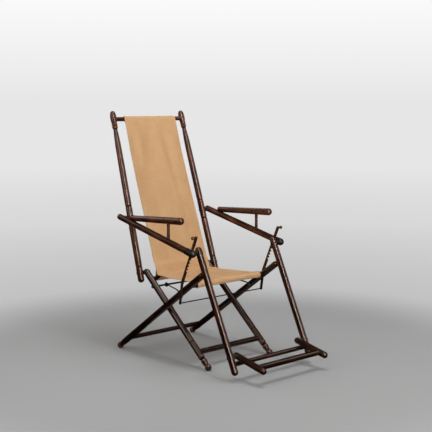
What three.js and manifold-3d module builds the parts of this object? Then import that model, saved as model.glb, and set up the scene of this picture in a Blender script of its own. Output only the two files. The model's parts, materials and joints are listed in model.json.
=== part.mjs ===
// Planters chair: a turned folding lounge chair with crossed legs, a leaning back, long arms that
// carry a hanging footrest frame, notched iron struts and a canvas sling.
// Millimetres, +Z up. The chair faces -Y, and its origin is on the floor under its middle.
import * as THREE from 'three'
import { mergeVertices } from 'three/addons/utils/BufferGeometryUtils.js'
import Module from 'manifold-3d'

const wasm = await Module()
wasm.setup()

const TAU = 2 * Math.PI
const degrees = THREE.MathUtils.degToRad

// Side view: crossed legs
const crossHeight = 222
const crossBehindMiddle = 96
const frontLegReach = 318
const backHingeReach = 200
const rearLegReach = 362
const headGap = 1.2
const footRadius = 14
const footFlat = 1

// Side view: back, arms and footrest
const backLean = degrees(17)
const stileLength = 714
const stileTail = 42
const armHingeReach = 243
const armFall = degrees(13.1)
const armReach = 460
const armFrontEnd = 2
const armRearEnd = 14
const footrestLean = degrees(24.8)
const footrestReach = 487
const footrestHead = 12
const footBarReach = 428
const footBarFall = degrees(12.6)
const footBarLength = 146
const footBarTail = 5.5

// Front view: distances of each plane of rods from the middle of the chair
const frontLegHalf = 177
const rearLegHalf = 211
const stileHalf = 213.5
const stileTopHalf = 195
const armHalf = 250.5
const strutHalf = 232.5
const footrestHalf = 212.5
const footBarHalf = 176.5

// Turned rods. Each pair of shares is a radius and a place, as shares of the sizes that the outline follows.
const legRadius = 13.4
const footBallShares = [[0.93, 0.5]]
const frontFootShares = [
  [0.8, 1.25], [1, 1.9], [1, 2.2], [0.8, 2.5], [0.96, 3], [0.96, 3.6], [1.1, 3.8], [1.1, 4.1], [1, 4.3],
]
const frontGrooveShare = 9.3
const rearFootShares = [[0.84, 1.3], [0.88, 1.8], [1, 2.8]]
const stileRadius = 13.8
const stileGrooveShares = { foot: 1.9, belowArm: 2.7, aboveArm: 3.4 }
const stileTaperShares = [[0.97, 0.68], [0.93, 0.8], [0.8, 0.88]]
const stileNeckShare = 3.2
const stileBeadShare = 0.62
const stileHeadShares = [
  [0.64, 0], [0.86, 0.4], [0.94, 1], [0.8, 1.5], [0.96, 2], [0.96, 2.6], [0.84, 3], [0.92, 3.6],
]
const armRadius = 13.3
const armEndRadius = 15
const armSwellShare = 0.9
const footrestRadius = 13.5
const footBarRadius = 13.2
const postRadius = 6.5
const restRearRadius = 12.5
const restFrontRadius = 15.2

// Cross rails, each with its radius and its place along the rods that carry it
const frontStretcher = { radius: 10.5, tenon: 7, place: -238 }
const rearSeatRail = { radius: 9.5, tenon: 6.5, place: 160 }
const rearStretcher = { radius: 9, tenon: 6.5, place: -285 }
const frontSeatRail = { radius: 10.5, tenon: 7, place: 207 }
const topRail = { radius: 9.5, tenon: 6.5, place: 677 }
const stopRodRadius = 9.3
const stopRodTenon = 6.5
const heelRod = { radius: 11.2, tenon: 7, place: 116 }
const tenonDepth = 14

// Armrests
const restLength = 327
const restRise = degrees(15.6)
const restSetForward = 64
const restLift = 20
const postPlace = 313
const postTenon = 4.5
const postTenonDepth = 8

// Iron work
const boltRadius = 4
const boltHeadRadius = 6.8
const boltHeadHeight = 2.8
const boltHeadShares = [[1, 0], [0.94, 0.4], [0.66, 0.82], [0, 1]]
const boltNutShares = [[0, 1], [0.72, 1], [0.9, 0.6], [0.9, 0]]
const pinHeadShares = [[1, 0], [1, 0.3], [0.7, 1], [0, 1]]
const collarRadius = 9.5
const collarWall = 4.6
const collarWaistShare = 0.7
const strutWidth = 13
const strutThickness = 4
const strutAbove = 63
const strutBend = 149
const strutCrank = degrees(15)
const studPlaceOnTail = 34
const strutTail = 83
const strutPivotSetback = 22
const strutBossRadius = 9
const notchRadius = 4.9
const studRadius = 3.4
const studHeadHeight = 2
const studFlangeShare = 2
const studHeadShares = [[1.8, 0], [1.5, 1], [0, 1]]
const notchInset = 1.4
const notchPitch = 15
const notchStart = 42
const slotShare = 2
const upperNotches = 4
const eyeShare = 0.9
const strutScrewRadius = 3.4
const screwHeadHeight = 2.6
const screwHeadShares = [[0, 1], [1.4, 1], [2, 0.4], [2, 0]]
const gripRadius = 2.6
const gripNutShare = 1.5
const gripReach = 17
const gripBallRadius = 5.6
const tieRodRadius = 2.4
const tieHeadHeight = 1.9
const tieHeadShare = 1.6
const stayRodRadius = 4
const stayRodPlace = 118
const nutRadius = 7.5
const nutHeight = 6
const stayRadius = 3
const stayEyeHalf = 119
const stayPegPlace = 110
const stayPegRadius = 3.6
const stayPegReach = 9
const pegHeadHeight = 1.5
const pegHeadShare = 1.5
const hookGap = 1.2
const stayBow = 8
const stayLip = 9
const bowShares = [0.35, 0.75]

// Canvas
const clothThickness = 1.8
const backTopClothHalf = 144
const backFootClothHalf = 152
const seatRearClothHalf = 150
const seatFrontClothHalf = 178
const hemLength = 34
const sleeveTurn = degrees(212)
const sleeveSteps = 7
const panelSteps = 10
const seatSteps = 6
const footSteps = 2
const seatColumns = 8
const backColumns = 12
const foldDepth = 4
const foldCount = 5
const seatSag = 3
const backSag = 8
const panelOverlap = 14
const footTurn = degrees(42)

// Clearances and shared counts
const fit = 0.3
const clothGap = 0.45
const overrun = 4
const blockShare = 4
const woodSides = 16
const ironSides = 12
const trimSides = 8
const nutSides = 6
const grooveDepth = 1.1
const grooveWidth = 3.2

const woodColour = 0x4a2a20
const ironColour = 0x1d1b1a
const clothColour = 0xcfa678

const chair = new THREE.Group()

// Meshes and solids

function signedVolume(position, index) {
  const a = new THREE.Vector3()
  const b = new THREE.Vector3()
  const c = new THREE.Vector3()
  let total = 0
  for (let i = 0; i < index.length; i += 3) {
    a.fromBufferAttribute(position, index[i])
    b.fromBufferAttribute(position, index[i + 1])
    c.fromBufferAttribute(position, index[i + 2])
    total += a.dot(b.cross(c))
  }
  return total
}

// Merges shared corners, drops empty triangles and turns the faces outwards.
function closed(geometry) {
  geometry.deleteAttribute('normal')
  geometry.deleteAttribute('uv')
  geometry.clearGroups()
  const merged = mergeVertices(geometry)
  const source = merged.index.array
  const index = []
  for (let i = 0; i < source.length; i += 3) {
    const [a, b, c] = [source[i], source[i + 1], source[i + 2]]
    if (a !== b && b !== c && c !== a) {
      index.push(a, b, c)
    }
  }
  if (signedVolume(merged.attributes.position, index) < 0) {
    index.reverse()
  }
  merged.setIndex(index)
  return merged
}

function toSolid(geometry) {
  const shape = closed(geometry)
  return new wasm.Manifold(new wasm.Mesh({
    numProp: 3,
    vertProperties: new Float32Array(shape.attributes.position.array),
    triVerts: new Uint32Array(shape.index.array),
  }))
}

function toGeometry(solid) {
  const mesh = solid.getMesh()
  const geometry = new THREE.BufferGeometry()
  geometry.setAttribute('position', new THREE.BufferAttribute(mesh.vertProperties, mesh.numProp))
  geometry.setIndex(new THREE.BufferAttribute(mesh.triVerts, 1))
  return geometry
}

function cut(geometry, tools) {
  let solid = toSolid(geometry)
  for (const tool of tools) {
    solid = solid.subtract(toSolid(tool))
  }
  return toGeometry(solid)
}

function joined(geometries) {
  let solid = toSolid(geometries[0])
  for (const geometry of geometries.slice(1)) {
    solid = solid.add(toSolid(geometry))
  }
  return toGeometry(solid)
}

// A turned rod along Z. The profile is a list of [radius, place along the rod].
function turned(profile, sides) {
  const points = profile.map(([radius, place]) => new THREE.Vector2(radius, place))
  const geometry = new THREE.LatheGeometry(points, sides)
  geometry.rotateX(Math.PI / 2)
  return closed(geometry)
}

// The same with its axis along X.
function turnedAcross(profile, sides) {
  return turned(profile, sides).rotateY(Math.PI / 2)
}

// A shape made for the right-hand side, mirrored for the left.
function handed(geometry, side) {
  return side > 0 ? geometry : closed(geometry.scale(-1, 1, 1))
}

function rodAcross(radius, from, to, sides, y, z) {
  const profile = [[0, from], [radius, from], [radius, to], [0, to]]
  return turnedAcross(profile, sides).translate(0, y, z)
}

function rodAlong(radius, from, to, sides, x, y) {
  const profile = [[0, from], [radius, from], [radius, to], [0, to]]
  return turned(profile, sides).translate(x, y, 0)
}

// A round end: quarter circle from the axis to the full radius, or back.
function roundEnd(radius, centre, way, steps) {
  const points = []
  for (let i = 0; i <= steps; i += 1) {
    const angle = (i / steps) * (Math.PI / 2)
    points.push([radius * Math.sin(angle), centre + way * radius * Math.cos(angle)])
  }
  return way > 0 ? points.reverse() : points
}

// A scored ring: a shallow groove in a rod of the given radius.
function groove(radius, place) {
  return [
    [radius, place - grooveWidth / 2],
    [radius - grooveDepth, place - grooveWidth / 4],
    [radius - grooveDepth, place + grooveWidth / 4],
    [radius, place + grooveWidth / 2],
  ]
}

// An outline from pairs of shares: of a radius, and of a size along the rod from a place on it.
function scaled(shares, radius, place, size) {
  return shares.map(([wide, far]) => [radius * wide, place + size * far])
}

const finishes = {
  wood: { color: woodColour, roughness: 0.38, metalness: 0 },
  iron: { color: ironColour, roughness: 0.5, metalness: 0.85 },
  canvas: { color: clothColour, roughness: 0.92, metalness: 0 },
}

function add(group, name, geometry, finish, x = 0) {
  const mesh = new THREE.Mesh(geometry, new THREE.MeshStandardMaterial(finishes[finish]))
  mesh.name = name
  mesh.position.x = x
  group.add(mesh)
  return mesh
}

// A frame of rods that lean together: its Z runs along them from a pivot in the side view.
function frameAt(pivot, angle) {
  const group = new THREE.Group()
  group.position.set(0, pivot.x, pivot.y)
  group.rotation.x = angle - Math.PI / 2
  chair.add(group)
  return group
}

const heading = (angle) => new THREE.Vector2(Math.cos(angle), Math.sin(angle))
const along = (start, angle, reach) => start.clone().addScaledVector(heading(angle), reach)

const sides = [['left', -1], ['right', 1]]

// A rail across the chair between two rods, coped to them and with a tenon in each.
function crossRail(rail, half, rodRadius, lean = 0) {
  const body = rodAcross(rail.radius, -half, half, woodSides, 0, 0)
  const rods = sides.map(([, side]) => {
    const reach = rail.radius + overrun
    const rod = rodAlong(rodRadius + fit, -reach, reach, woodSides, 0, 0)
    return rod.rotateY(side * lean).translate(side * half, 0, 0)
  })
  const tip = half - rodRadius + tenonDepth
  const tenon = rodAcross(rail.tenon, -tip, tip, woodSides, 0, 0)
  return joined([cut(body, rods), tenon]).translate(0, 0, rail.place)
}

// The blind hole for that tenon, in the rod on one side.
function socket(rail, side, rodRadius) {
  const floor = rodRadius - tenonDepth - fit
  const mouth = rodRadius + overrun
  const [from, to] = side > 0 ? [-mouth, -floor] : [floor, mouth]
  return rodAcross(rail.tenon + fit, from, to, woodSides, 0, rail.place)
}

function boltHole(place, rodRadius, radius = boltRadius) {
  const reach = rodRadius + overrun
  return rodAcross(radius + fit, -reach, reach, ironSides, 0, place)
}

// A bolt across two rods, with a domed head outside and a low round nut inside.
function bolt(inner, outer, side) {
  const start = inner - fit
  const end = outer + fit
  const profile = [
    ...scaled(boltNutShares, boltHeadRadius, start, -boltHeadHeight),
    [boltRadius, start],
    [boltRadius, end],
    ...scaled(boltHeadShares, boltHeadRadius, end, boltHeadHeight),
  ]
  return handed(turnedAcross(profile, ironSides), side)
}

// A collar that keeps two rods apart on their bolt.
function collar(inner, outer, side) {
  const start = inner + fit
  const end = outer - fit
  const middle = (start + end) / 2
  const bore = boltRadius + fit
  const waist = bore + collarWall * collarWaistShare
  const profile = [
    [bore, start],
    [collarRadius, start],
    [waist, middle],
    [collarRadius, end],
    [bore, end],
    [bore, start],
  ]
  return handed(turnedAcross(profile, ironSides), side)
}

// Places in the side view

const cross = new THREE.Vector2(crossBehindMiddle, crossHeight)
const footDrop = crossHeight - footRadius + footFlat
const frontLegAngle = Math.asin(footDrop / frontLegReach)
const rearLegAngle = Math.PI - Math.asin(footDrop / rearLegReach)
const backHinge = along(cross, frontLegAngle, backHingeReach)
const backAngle = Math.PI / 2 - backLean
const armHinge = along(backHinge, backAngle, armHingeReach)
const armAngle = Math.PI + armFall
const knee = along(armHinge, armAngle, armReach)
const footrestAngle = 1.5 * Math.PI - footrestLean
const barPivot = along(knee, footrestAngle, footBarReach)

// The rear legs' heads stop short of the footrest's stiles, whose middle line crosses theirs here.
const headTurn = heading(rearLegAngle).cross(heading(footrestAngle))
const stileOnRearLeg = knee.clone().sub(cross).cross(heading(footrestAngle)) / headTurn
const rearLegRise = stileOnRearLeg - (legRadius + footrestRadius + headGap) / headTurn

const barAngle = Math.PI + footBarFall
const strutPivot = along(armHinge, armAngle, armReach - strutPivotSetback)
const frontRailCentre = along(cross, rearLegAngle, frontSeatRail.place)
const rearRailCentre = along(cross, frontLegAngle, rearSeatRail.place)

// The floor under a foot, as a block in the leg's own coordinates.
function floorBlock(angle, reach) {
  const size = footRadius * blockShare
  const foot = along(cross, angle, -reach)
  const block = new THREE.BoxGeometry(size, size, size)
  block.translate(0, foot.x - cross.x, -size / 2 - cross.y)
  return block.rotateX(Math.PI / 2 - angle)
}

// Front legs: turned feet with a ball, a cove and a bead, round heads at the back hinge.
const frontLegs = frameAt(cross, frontLegAngle)

function frontLeg(side) {
  const foot = -frontLegReach
  const profile = [
    ...roundEnd(footRadius, foot, -1, 4),
    ...scaled(footBallShares, footRadius, foot, footRadius),
    ...scaled(frontFootShares, legRadius, foot, footRadius),
    ...groove(legRadius, foot + footRadius * frontGrooveShare),
    ...roundEnd(legRadius, backHingeReach, 1, 3),
  ]
  return cut(turned(profile, woodSides), [
    socket(frontStretcher, side, legRadius),
    socket(rearSeatRail, side, legRadius),
    boltHole(0, legRadius),
    boltHole(backHingeReach, legRadius),
    boltHole(stayRodPlace, legRadius, stayRodRadius),
    floorBlock(frontLegAngle, frontLegReach),
  ])
}

for (const [hand, side] of sides) {
  add(frontLegs, `front_leg_${hand}`, frontLeg(side), 'wood', side * frontLegHalf)
}
add(frontLegs, 'front_stretcher', crossRail(frontStretcher, frontLegHalf, legRadius), 'wood')
add(frontLegs, 'rear_seat_rail', crossRail(rearSeatRail, frontLegHalf, legRadius), 'wood')

// The bolts and collars where the legs cross and where the back is hung.
for (const [hand, side] of sides) {
  const inner = frontLegHalf - legRadius
  const between = frontLegHalf + legRadius
  const crossBolt = bolt(inner, rearLegHalf + legRadius, side)
  add(frontLegs, `crossing_bolt_${hand}`, crossBolt, 'iron')
  const crossCollar = collar(between, rearLegHalf - legRadius, side)
  add(frontLegs, `crossing_collar_${hand}`, crossCollar, 'iron')
  const hingeBolt = bolt(inner, stileHalf + stileRadius, side)
  add(frontLegs, `back_hinge_bolt_${hand}`, hingeBolt, 'iron').position.z = backHingeReach
  const hingeCollar = collar(between, stileHalf - stileRadius, side)
  add(frontLegs, `back_hinge_collar_${hand}`, hingeCollar, 'iron').position.z = backHingeReach
}

// The iron rod through the front legs that carries the stays, and its nuts.
const stayRodHalf = frontLegHalf + legRadius + nutHeight + overrun
add(frontLegs, 'stay_rod', rodAcross(stayRodRadius, -stayRodHalf, stayRodHalf, ironSides, 0, 0), 'iron')
  .position.z = stayRodPlace
for (const [hand, side] of sides) {
  const seat = frontLegHalf + legRadius + fit
  const block = rodAcross(nutRadius, seat, seat + nutHeight, nutSides, 0, 0)
  const bore = rodAcross(stayRodRadius + fit, seat - overrun, seat + nutHeight + overrun, ironSides, 0, 0)
  const nut = handed(cut(block, [bore]), side)
  add(frontLegs, `stay_rod_nut_${hand}`, nut, 'iron').position.z = stayRodPlace
}

// Rear legs: ball feet behind, plain round heads in front.
const rearLegs = frameAt(cross, rearLegAngle)

function rearLeg(side) {
  const foot = -rearLegReach
  const profile = [
    ...roundEnd(footRadius, foot, -1, 4),
    ...scaled(footBallShares, footRadius, foot, footRadius),
    ...scaled(rearFootShares, legRadius, foot, footRadius),
    ...roundEnd(legRadius, rearLegRise, 1, 3),
  ]
  const studHole = rodAcross(studRadius + fit, 0, legRadius + overrun, ironSides, 0, strutStudPlace)
  const pegHole = rodAcross(stayPegRadius + fit, -legRadius - overrun, 0, ironSides, 0, stayPegPlace)
  if (side < 0) {
    studHole.translate(-legRadius - overrun, 0, 0)
    pegHole.translate(legRadius + overrun, 0, 0)
  }
  return cut(turned(profile, woodSides), [
    socket(rearStretcher, side, legRadius),
    socket(frontSeatRail, side, legRadius),
    boltHole(0, legRadius),
    studHole,
    pegHole,
    floorBlock(rearLegAngle, rearLegReach),
  ])
}

// Below the arm a strut runs straight to its bend, and its tail is cranked forward from there.
// The stud lies in the rear edge of the tail. These are its places across and along the strut.
const tailDown = new THREE.Vector2(-Math.sin(strutCrank), -Math.cos(strutCrank))
const tailBack = new THREE.Vector2(Math.cos(strutCrank), -Math.sin(strutCrank))
const studInStrut = new THREE.Vector2(0, -strutBend)
  .addScaledVector(tailDown, studPlaceOnTail)
  .addScaledVector(tailBack, strutWidth / 2 - notchInset)
const strutBelow = studInStrut.length()

// The stud's place on the leg is where a circle about the strut's pivot meets the leg's line.
const pivotFromCross = strutPivot.clone().sub(cross)
const pivotAlong = pivotFromCross.dot(heading(rearLegAngle))
const pivotAside = pivotFromCross.cross(heading(rearLegAngle))
const strutStudPlace = pivotAlong - Math.sqrt(strutBelow ** 2 - pivotAside ** 2)
const strutStud = along(cross, rearLegAngle, strutStudPlace)

for (const [hand, side] of sides) {
  add(rearLegs, `rear_leg_${hand}`, rearLeg(side), 'wood', side * rearLegHalf)
}
add(rearLegs, 'rear_stretcher', crossRail(rearStretcher, rearLegHalf, legRadius), 'wood')
add(rearLegs, 'front_seat_rail', crossRail(frontSeatRail, rearLegHalf, legRadius), 'wood')

// Studs for the struts on the outside of the rear legs, pegs for the stays on the inside.
for (const [hand, side] of sides) {
  const face = rearLegHalf + legRadius
  const strutInner = strutHalf - strutThickness / 2
  const strutOuter = strutHalf + strutThickness / 2
  const flange = studRadius * studFlangeShare
  const profile = [
    [0, rearLegHalf + fit],
    [studRadius, rearLegHalf + fit],
    [studRadius, face + fit],
    [flange, face + fit],
    [flange, strutInner - fit],
    [studRadius, strutInner - fit],
    [studRadius, strutOuter + fit],
    ...scaled(studHeadShares, studRadius, strutOuter + fit, studHeadHeight),
  ]
  const stud = handed(turnedAcross(profile, trimSides), side)
  add(rearLegs, `strut_stud_${hand}`, stud, 'iron').position.z = strutStudPlace

  const tip = rearLegHalf - legRadius - stayPegReach
  const pegProfile = [
    [0, tip],
    [stayPegRadius * pegHeadShare, tip],
    [stayPegRadius * pegHeadShare, tip + pegHeadHeight],
    [stayPegRadius, tip + pegHeadHeight + fit],
    [stayPegRadius, rearLegHalf - fit],
    [0, rearLegHalf - fit],
  ]
  const peg = handed(turnedAcross(pegProfile, trimSides), side)
  add(rearLegs, `stay_peg_${hand}`, peg, 'iron').position.z = stayPegPlace
}

// Stays: bent iron rods with an eye on the stay rod, hooked over a peg with the lip turned down.
const stayRodCentre = along(cross, frontLegAngle, stayRodPlace)
const stayPeg = along(cross, rearLegAngle, stayPegPlace)
const stayEyeRadius = stayRodRadius + fit + stayRadius
const stays = new THREE.Group()
stays.position.set(0, stayRodCentre.x, stayRodCentre.y)
chair.add(stays)

function stay(side) {
  const peg = stayPeg.clone().sub(stayRodCentre)
  const hookHalf = rearLegHalf - legRadius - stayPegReach / 2
  const over = peg.y + stayPegRadius + fit + stayRadius
  const front = peg.x - stayPegRadius - hookGap - stayRadius
  const between = (share, rise) => new THREE.Vector3(
    THREE.MathUtils.lerp(stayEyeHalf, hookHalf, share),
    THREE.MathUtils.lerp(-stayEyeRadius, peg.x, share),
    over * share + rise,
  )
  const [first, last] = bowShares
  const route = new THREE.CatmullRomCurve3([
    between(0, 0),
    between(first, stayBow / 2),
    between(last, stayBow),
    new THREE.Vector3(hookHalf, peg.x, over),
    new THREE.Vector3(hookHalf, front, over - stayRadius),
    new THREE.Vector3(hookHalf, front - stayRadius / 2, over - stayRadius - stayLip),
  ])
  const section = new THREE.Shape()
  section.absarc(0, 0, stayRadius, 0, TAU)
  const shank = new THREE.ExtrudeGeometry(section, { steps: 24, curveSegments: 3, extrudePath: route })
  const eye = new THREE.TorusGeometry(stayEyeRadius, stayRadius, 8, 16).rotateY(Math.PI / 2)
  eye.translate(stayEyeHalf, 0, 0)
  return handed(joined([eye, shank]), side)
}

for (const [hand, side] of sides) {
  add(stays, `stay_${hand}`, stay(side), 'iron')
}

// Back: two turned stiles that draw together towards the top rail.
const back = frameAt(backHinge, backAngle)
const stileTilt = Math.atan((stileHalf - stileTopHalf) / topRail.place)

function stile(side) {
  const head = stileLength - stileRadius
  const neck = topRail.place - stileRadius * stileNeckShare
  const bead = stileRadius * stileBeadShare
  const { foot, belowArm, aboveArm } = stileGrooveShares
  const profile = [
    ...roundEnd(stileRadius, -stileTail + stileRadius, -1, 3),
    ...groove(stileRadius, stileRadius * foot),
    ...groove(stileRadius, armHingeReach - stileRadius * belowArm),
    ...groove(stileRadius, armHingeReach + stileRadius * aboveArm),
    ...scaled(stileTaperShares, stileRadius, 0, topRail.place),
    ...scaled(stileHeadShares, stileRadius, neck, bead),
    [stileRadius, topRail.place],
    ...roundEnd(stileRadius, head, 1, 4),
  ]
  const shaft = turned(profile, woodSides).rotateY(-side * stileTilt)
  const armBoltOffset = -side * Math.tan(stileTilt) * armHingeReach
  const railOffset = -side * (stileHalf - stileTopHalf)
  return cut(shaft, [
    boltHole(0, stileRadius),
    boltHole(armHingeReach, stileRadius).translate(armBoltOffset, 0, 0),
    socket(topRail, side, stileRadius).translate(railOffset, 0, 0),
  ])
}

for (const [hand, side] of sides) {
  add(back, `back_stile_${hand}`, stile(side), 'wood', side * stileHalf)
}
add(back, 'back_top_rail', crossRail(topRail, stileTopHalf, stileRadius, -stileTilt), 'wood')

// Bolts and collars where the arms are hung on the stiles.
const stileAtArm = stileHalf - Math.tan(stileTilt) * armHingeReach
for (const [hand, side] of sides) {
  const armBolt = bolt(stileAtArm - stileRadius, armHalf + armRadius, side)
  add(back, `arm_bolt_${hand}`, armBolt, 'iron').position.z = armHingeReach
  const armCollar = collar(stileAtArm + stileRadius, armHalf - armRadius, side)
  add(back, `arm_collar_${hand}`, armCollar, 'iron').position.z = armHingeReach
}

// Arms: round bars, each with a tapered armrest seated on it behind and held by a post in front.
const arms = frameAt(armHinge, armAngle)
// The post stands upright, so it leans this much in the arm's own coordinates.
const postLean = -arms.rotation.x
const restSlope = Math.tan(restRise)
const restAbovePost = restLift + restSlope * (postPlace - restSetForward)
// The distance up the post from the middle of the arm bar to the middle of the armrest.
const postReach = restAbovePost / (Math.cos(armFall) + Math.sin(armFall) * restSlope)

function armBar(side) {
  const profile = [
    ...roundEnd(armRadius, -armRearEnd, -1, 4),
    [armRadius, armReach * armSwellShare],
    ...roundEnd(armEndRadius, armReach + armFrontEnd, 1, 5),
  ]
  const reach = armRadius + overrun
  // The strut's screw enters the bar from its inner side.
  const [from, to] = side > 0 ? [-reach, 0] : [0, reach]
  const screwHole = rodAcross(strutScrewRadius + fit, from, to, ironSides, 0, armReach - strutPivotSetback)
  const postHole = uprightRod(postTenon + fit, armRadius - postTenonDepth - fit, reach)
  return cut(turned(profile, woodSides), [
    boltHole(0, armRadius),
    boltHole(armReach, armEndRadius),
    screwHole,
    postHole,
  ])
}

// The round of the armrest, with some room added to cope the post's top to it.
function armrestBody(room) {
  const front = restLength - restFrontRadius
  const profile = [
    [0, -room],
    [restRearRadius + room, -room],
    [(restRearRadius + restFrontRadius) / 2 + room, front / 2],
    ...roundEnd(restFrontRadius + room, front, 1, 4),
  ]
  return turned(profile, woodSides).rotateX(-restRise).translate(0, restLift, restSetForward)
}

// A round rod upright from the arm bar's middle line, at the place of the post.
function uprightRod(radius, from, to) {
  return rodAlong(radius, from, to, ironSides, 0, 0).rotateX(postLean).translate(0, 0, postPlace)
}

function armrest() {
  const bar = rodAlong(armRadius + fit, 0, armReach, woodSides, 0, 0)
  const holeFloor = postReach - restRearRadius + postTenonDepth + fit
  const postHole = uprightRod(postTenon + fit, postReach - restFrontRadius - overrun, holeFloor)
  return cut(armrestBody(0), [bar, postHole])
}

function armrestPost() {
  const bar = rodAlong(armRadius + fit, 0, armReach, woodSides, 0, 0)
  const shank = cut(uprightRod(postRadius, 0, postReach), [bar, armrestBody(fit)])
  const tenonTop = postReach - restRearRadius + postTenonDepth
  return joined([shank, uprightRod(postTenon, armRadius - postTenonDepth, tenonTop)])
}

for (const [hand, side] of sides) {
  add(arms, `arm_bar_${hand}`, armBar(side), 'wood', side * armHalf)
  add(arms, `armrest_${hand}`, armrest(), 'wood', side * armHalf)
  add(arms, `armrest_post_${hand}`, armrestPost(), 'wood', side * armHalf)
}

// Bolts and collars at the knees, where the footrest frame hangs from the arms.
for (const [hand, side] of sides) {
  const kneeBolt = bolt(footrestHalf - footrestRadius, armHalf + armEndRadius, side)
  add(arms, `knee_bolt_${hand}`, kneeBolt, 'iron').position.z = armReach
  const kneeCollar = collar(footrestHalf + footrestRadius, armHalf - armEndRadius, side)
  add(arms, `knee_collar_${hand}`, kneeCollar, 'iron').position.z = armReach
  const inner = strutHalf - strutThickness / 2
  const profile = [
    ...scaled(screwHeadShares, strutScrewRadius, inner - fit, -screwHeadHeight),
    [strutScrewRadius, inner - fit],
    [strutScrewRadius, armHalf - fit],
    [0, armHalf - fit],
  ]
  const screw = handed(turnedAcross(profile, trimSides), side)
  add(arms, `strut_screw_${hand}`, screw, 'iron').position.z = armReach - strutPivotSetback
}

// Struts: flat notched iron bars that hang from the arms and hook on the studs of the rear legs.
const toPivot = strutPivot.clone().sub(strutStud)
const strutAngle = Math.atan2(toPivot.y, toPivot.x) + Math.atan2(-studInStrut.x, -studInStrut.y)
const struts = frameAt(strutPivot, strutAngle)

// The eye for the tie rod at the end of the tail.
const strutEye = new THREE.Vector2(0, -strutBend).addScaledVector(tailDown, strutTail)

// The slot runs from the stud the way that the stud leaves it when the legs are folded.
function studSlot() {
  const size = strutWidth * slotShare
  const slot = new THREE.BoxGeometry(size, notchRadius * 2, size).translate(0, 0, size / 2)
  const round = rodAcross(notchRadius, -strutWidth, strutWidth, ironSides, 0, 0)
  const away = strutAngle - (rearLegAngle - Math.PI / 2)
  return joined([slot.rotateX(-away), round]).translate(strutHalf, studInStrut.x, studInStrut.y)
}

function strut(side) {
  const half = strutWidth / 2
  const outline = new THREE.Shape()
  const notches = []
  for (let i = 0; i < upperNotches; i += 1) {
    notches.push(notchStart + i * notchPitch)
  }

  // Down the front edge from the top, past the notches, round the eye and up the back edge.
  outline.moveTo(-half, strutAbove)
  for (const place of notches) {
    const centre = -half + notchInset
    const open = Math.asin(notchInset / notchRadius)
    outline.lineTo(-half, -place + notchRadius * Math.cos(open))
    outline.absarc(centre, -place, notchRadius, Math.PI / 2 + open, -Math.PI / 2 - open, true)
  }
  const miter = half * Math.tan(strutCrank / 2)
  const eyeHalf = half * eyeShare
  outline.lineTo(-half, -strutBend - miter)
  outline.lineTo(strutEye.x - eyeHalf * tailBack.x, strutEye.y - eyeHalf * tailBack.y)
  outline.absarc(strutEye.x, strutEye.y, eyeHalf, Math.PI - strutCrank, TAU - strutCrank, false)
  outline.lineTo(half, -strutBend + miter)
  outline.lineTo(half, strutAbove)
  outline.absarc(0, strutAbove, half, 0, Math.PI, false)

  const holes = [
    [0, 0, strutScrewRadius],
    [0, strutAbove, gripRadius],
    [strutEye.x, strutEye.y, tieRodRadius],
  ]
  for (const [x, y, radius] of holes) {
    const hole = new THREE.Path()
    hole.absarc(x, y, radius + fit, 0, TAU, true)
    outline.holes.push(hole)
  }
  const settings = { depth: strutThickness, bevelEnabled: false, curveSegments: 6 }
  const flat = new THREE.ExtrudeGeometry(outline, settings)
  // The outline is drawn with its height up the bar, so it is turned to stand in the Y and Z plane.
  flat.rotateY(Math.PI / 2).rotateX(Math.PI / 2).translate(strutHalf - strutThickness / 2, 0, 0)
  const bossTo = armHalf - armEndRadius - fit
  const bossProfile = [
    [strutScrewRadius + fit, strutHalf],
    [strutBossRadius, strutHalf],
    [strutBossRadius, bossTo],
    [strutScrewRadius + fit, bossTo],
    [strutScrewRadius + fit, strutHalf],
  ]
  const bar = cut(joined([flat, turnedAcross(bossProfile, ironSides)]), [studSlot()])
  return handed(bar, side)
}

for (const [hand, side] of sides) {
  add(struts, `strut_${hand}`, strut(side), 'iron')
  const inner = strutHalf - strutThickness / 2 - fit
  const outer = strutHalf + strutThickness / 2 + fit
  const ball = outer + gripReach
  const ballShares = [-0.9, -0.6, 0, 0.6, 0.9]
  const profile = [
    [0, inner - gripRadius],
    [gripRadius * gripNutShare, inner - gripRadius],
    [gripRadius * gripNutShare, inner],
    [gripRadius, inner],
    [gripRadius, outer],
    ...ballShares.map((share) => [
      gripBallRadius * Math.sqrt(1 - share ** 2),
      ball + gripBallRadius * share,
    ]),
    [0, ball + gripBallRadius],
  ]
  const grip = handed(turnedAcross(profile, trimSides), side)
  add(struts, `strut_grip_${hand}`, grip, 'iron').position.z = strutAbove
}

// The thin rod that ties the two struts together under the seat, with its ends spread.
const tieRodHalf = strutHalf + strutThickness / 2 + fit
const tieHeadRadius = tieRodRadius * tieHeadShare
const tieProfile = [
  [0, -tieRodHalf - tieHeadHeight],
  [tieHeadRadius, -tieRodHalf - tieHeadHeight],
  [tieHeadRadius, -tieRodHalf],
  [tieRodRadius, -tieRodHalf],
  [tieRodRadius, tieRodHalf],
  [tieHeadRadius, tieRodHalf],
  [tieHeadRadius, tieRodHalf + tieHeadHeight],
  [0, tieRodHalf + tieHeadHeight],
]
const tieRod = add(struts, 'strut_tie_rod', turnedAcross(tieProfile, trimSides), 'iron')
tieRod.position.set(0, strutEye.x, strutEye.y)

// Footrest frame: two long stiles hung from the arms, and the rod that stops the foot bars.
const footrest = frameAt(knee, footrestAngle)
const barTurn = barAngle - footrestAngle
// The stop rod lies just under the bars, on the middle line of the stiles.
const stopRod = {
  radius: stopRodRadius,
  tenon: stopRodTenon,
  place: footBarReach + (footBarRadius + stopRodRadius + fit) / Math.sin(-barTurn),
}

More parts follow.
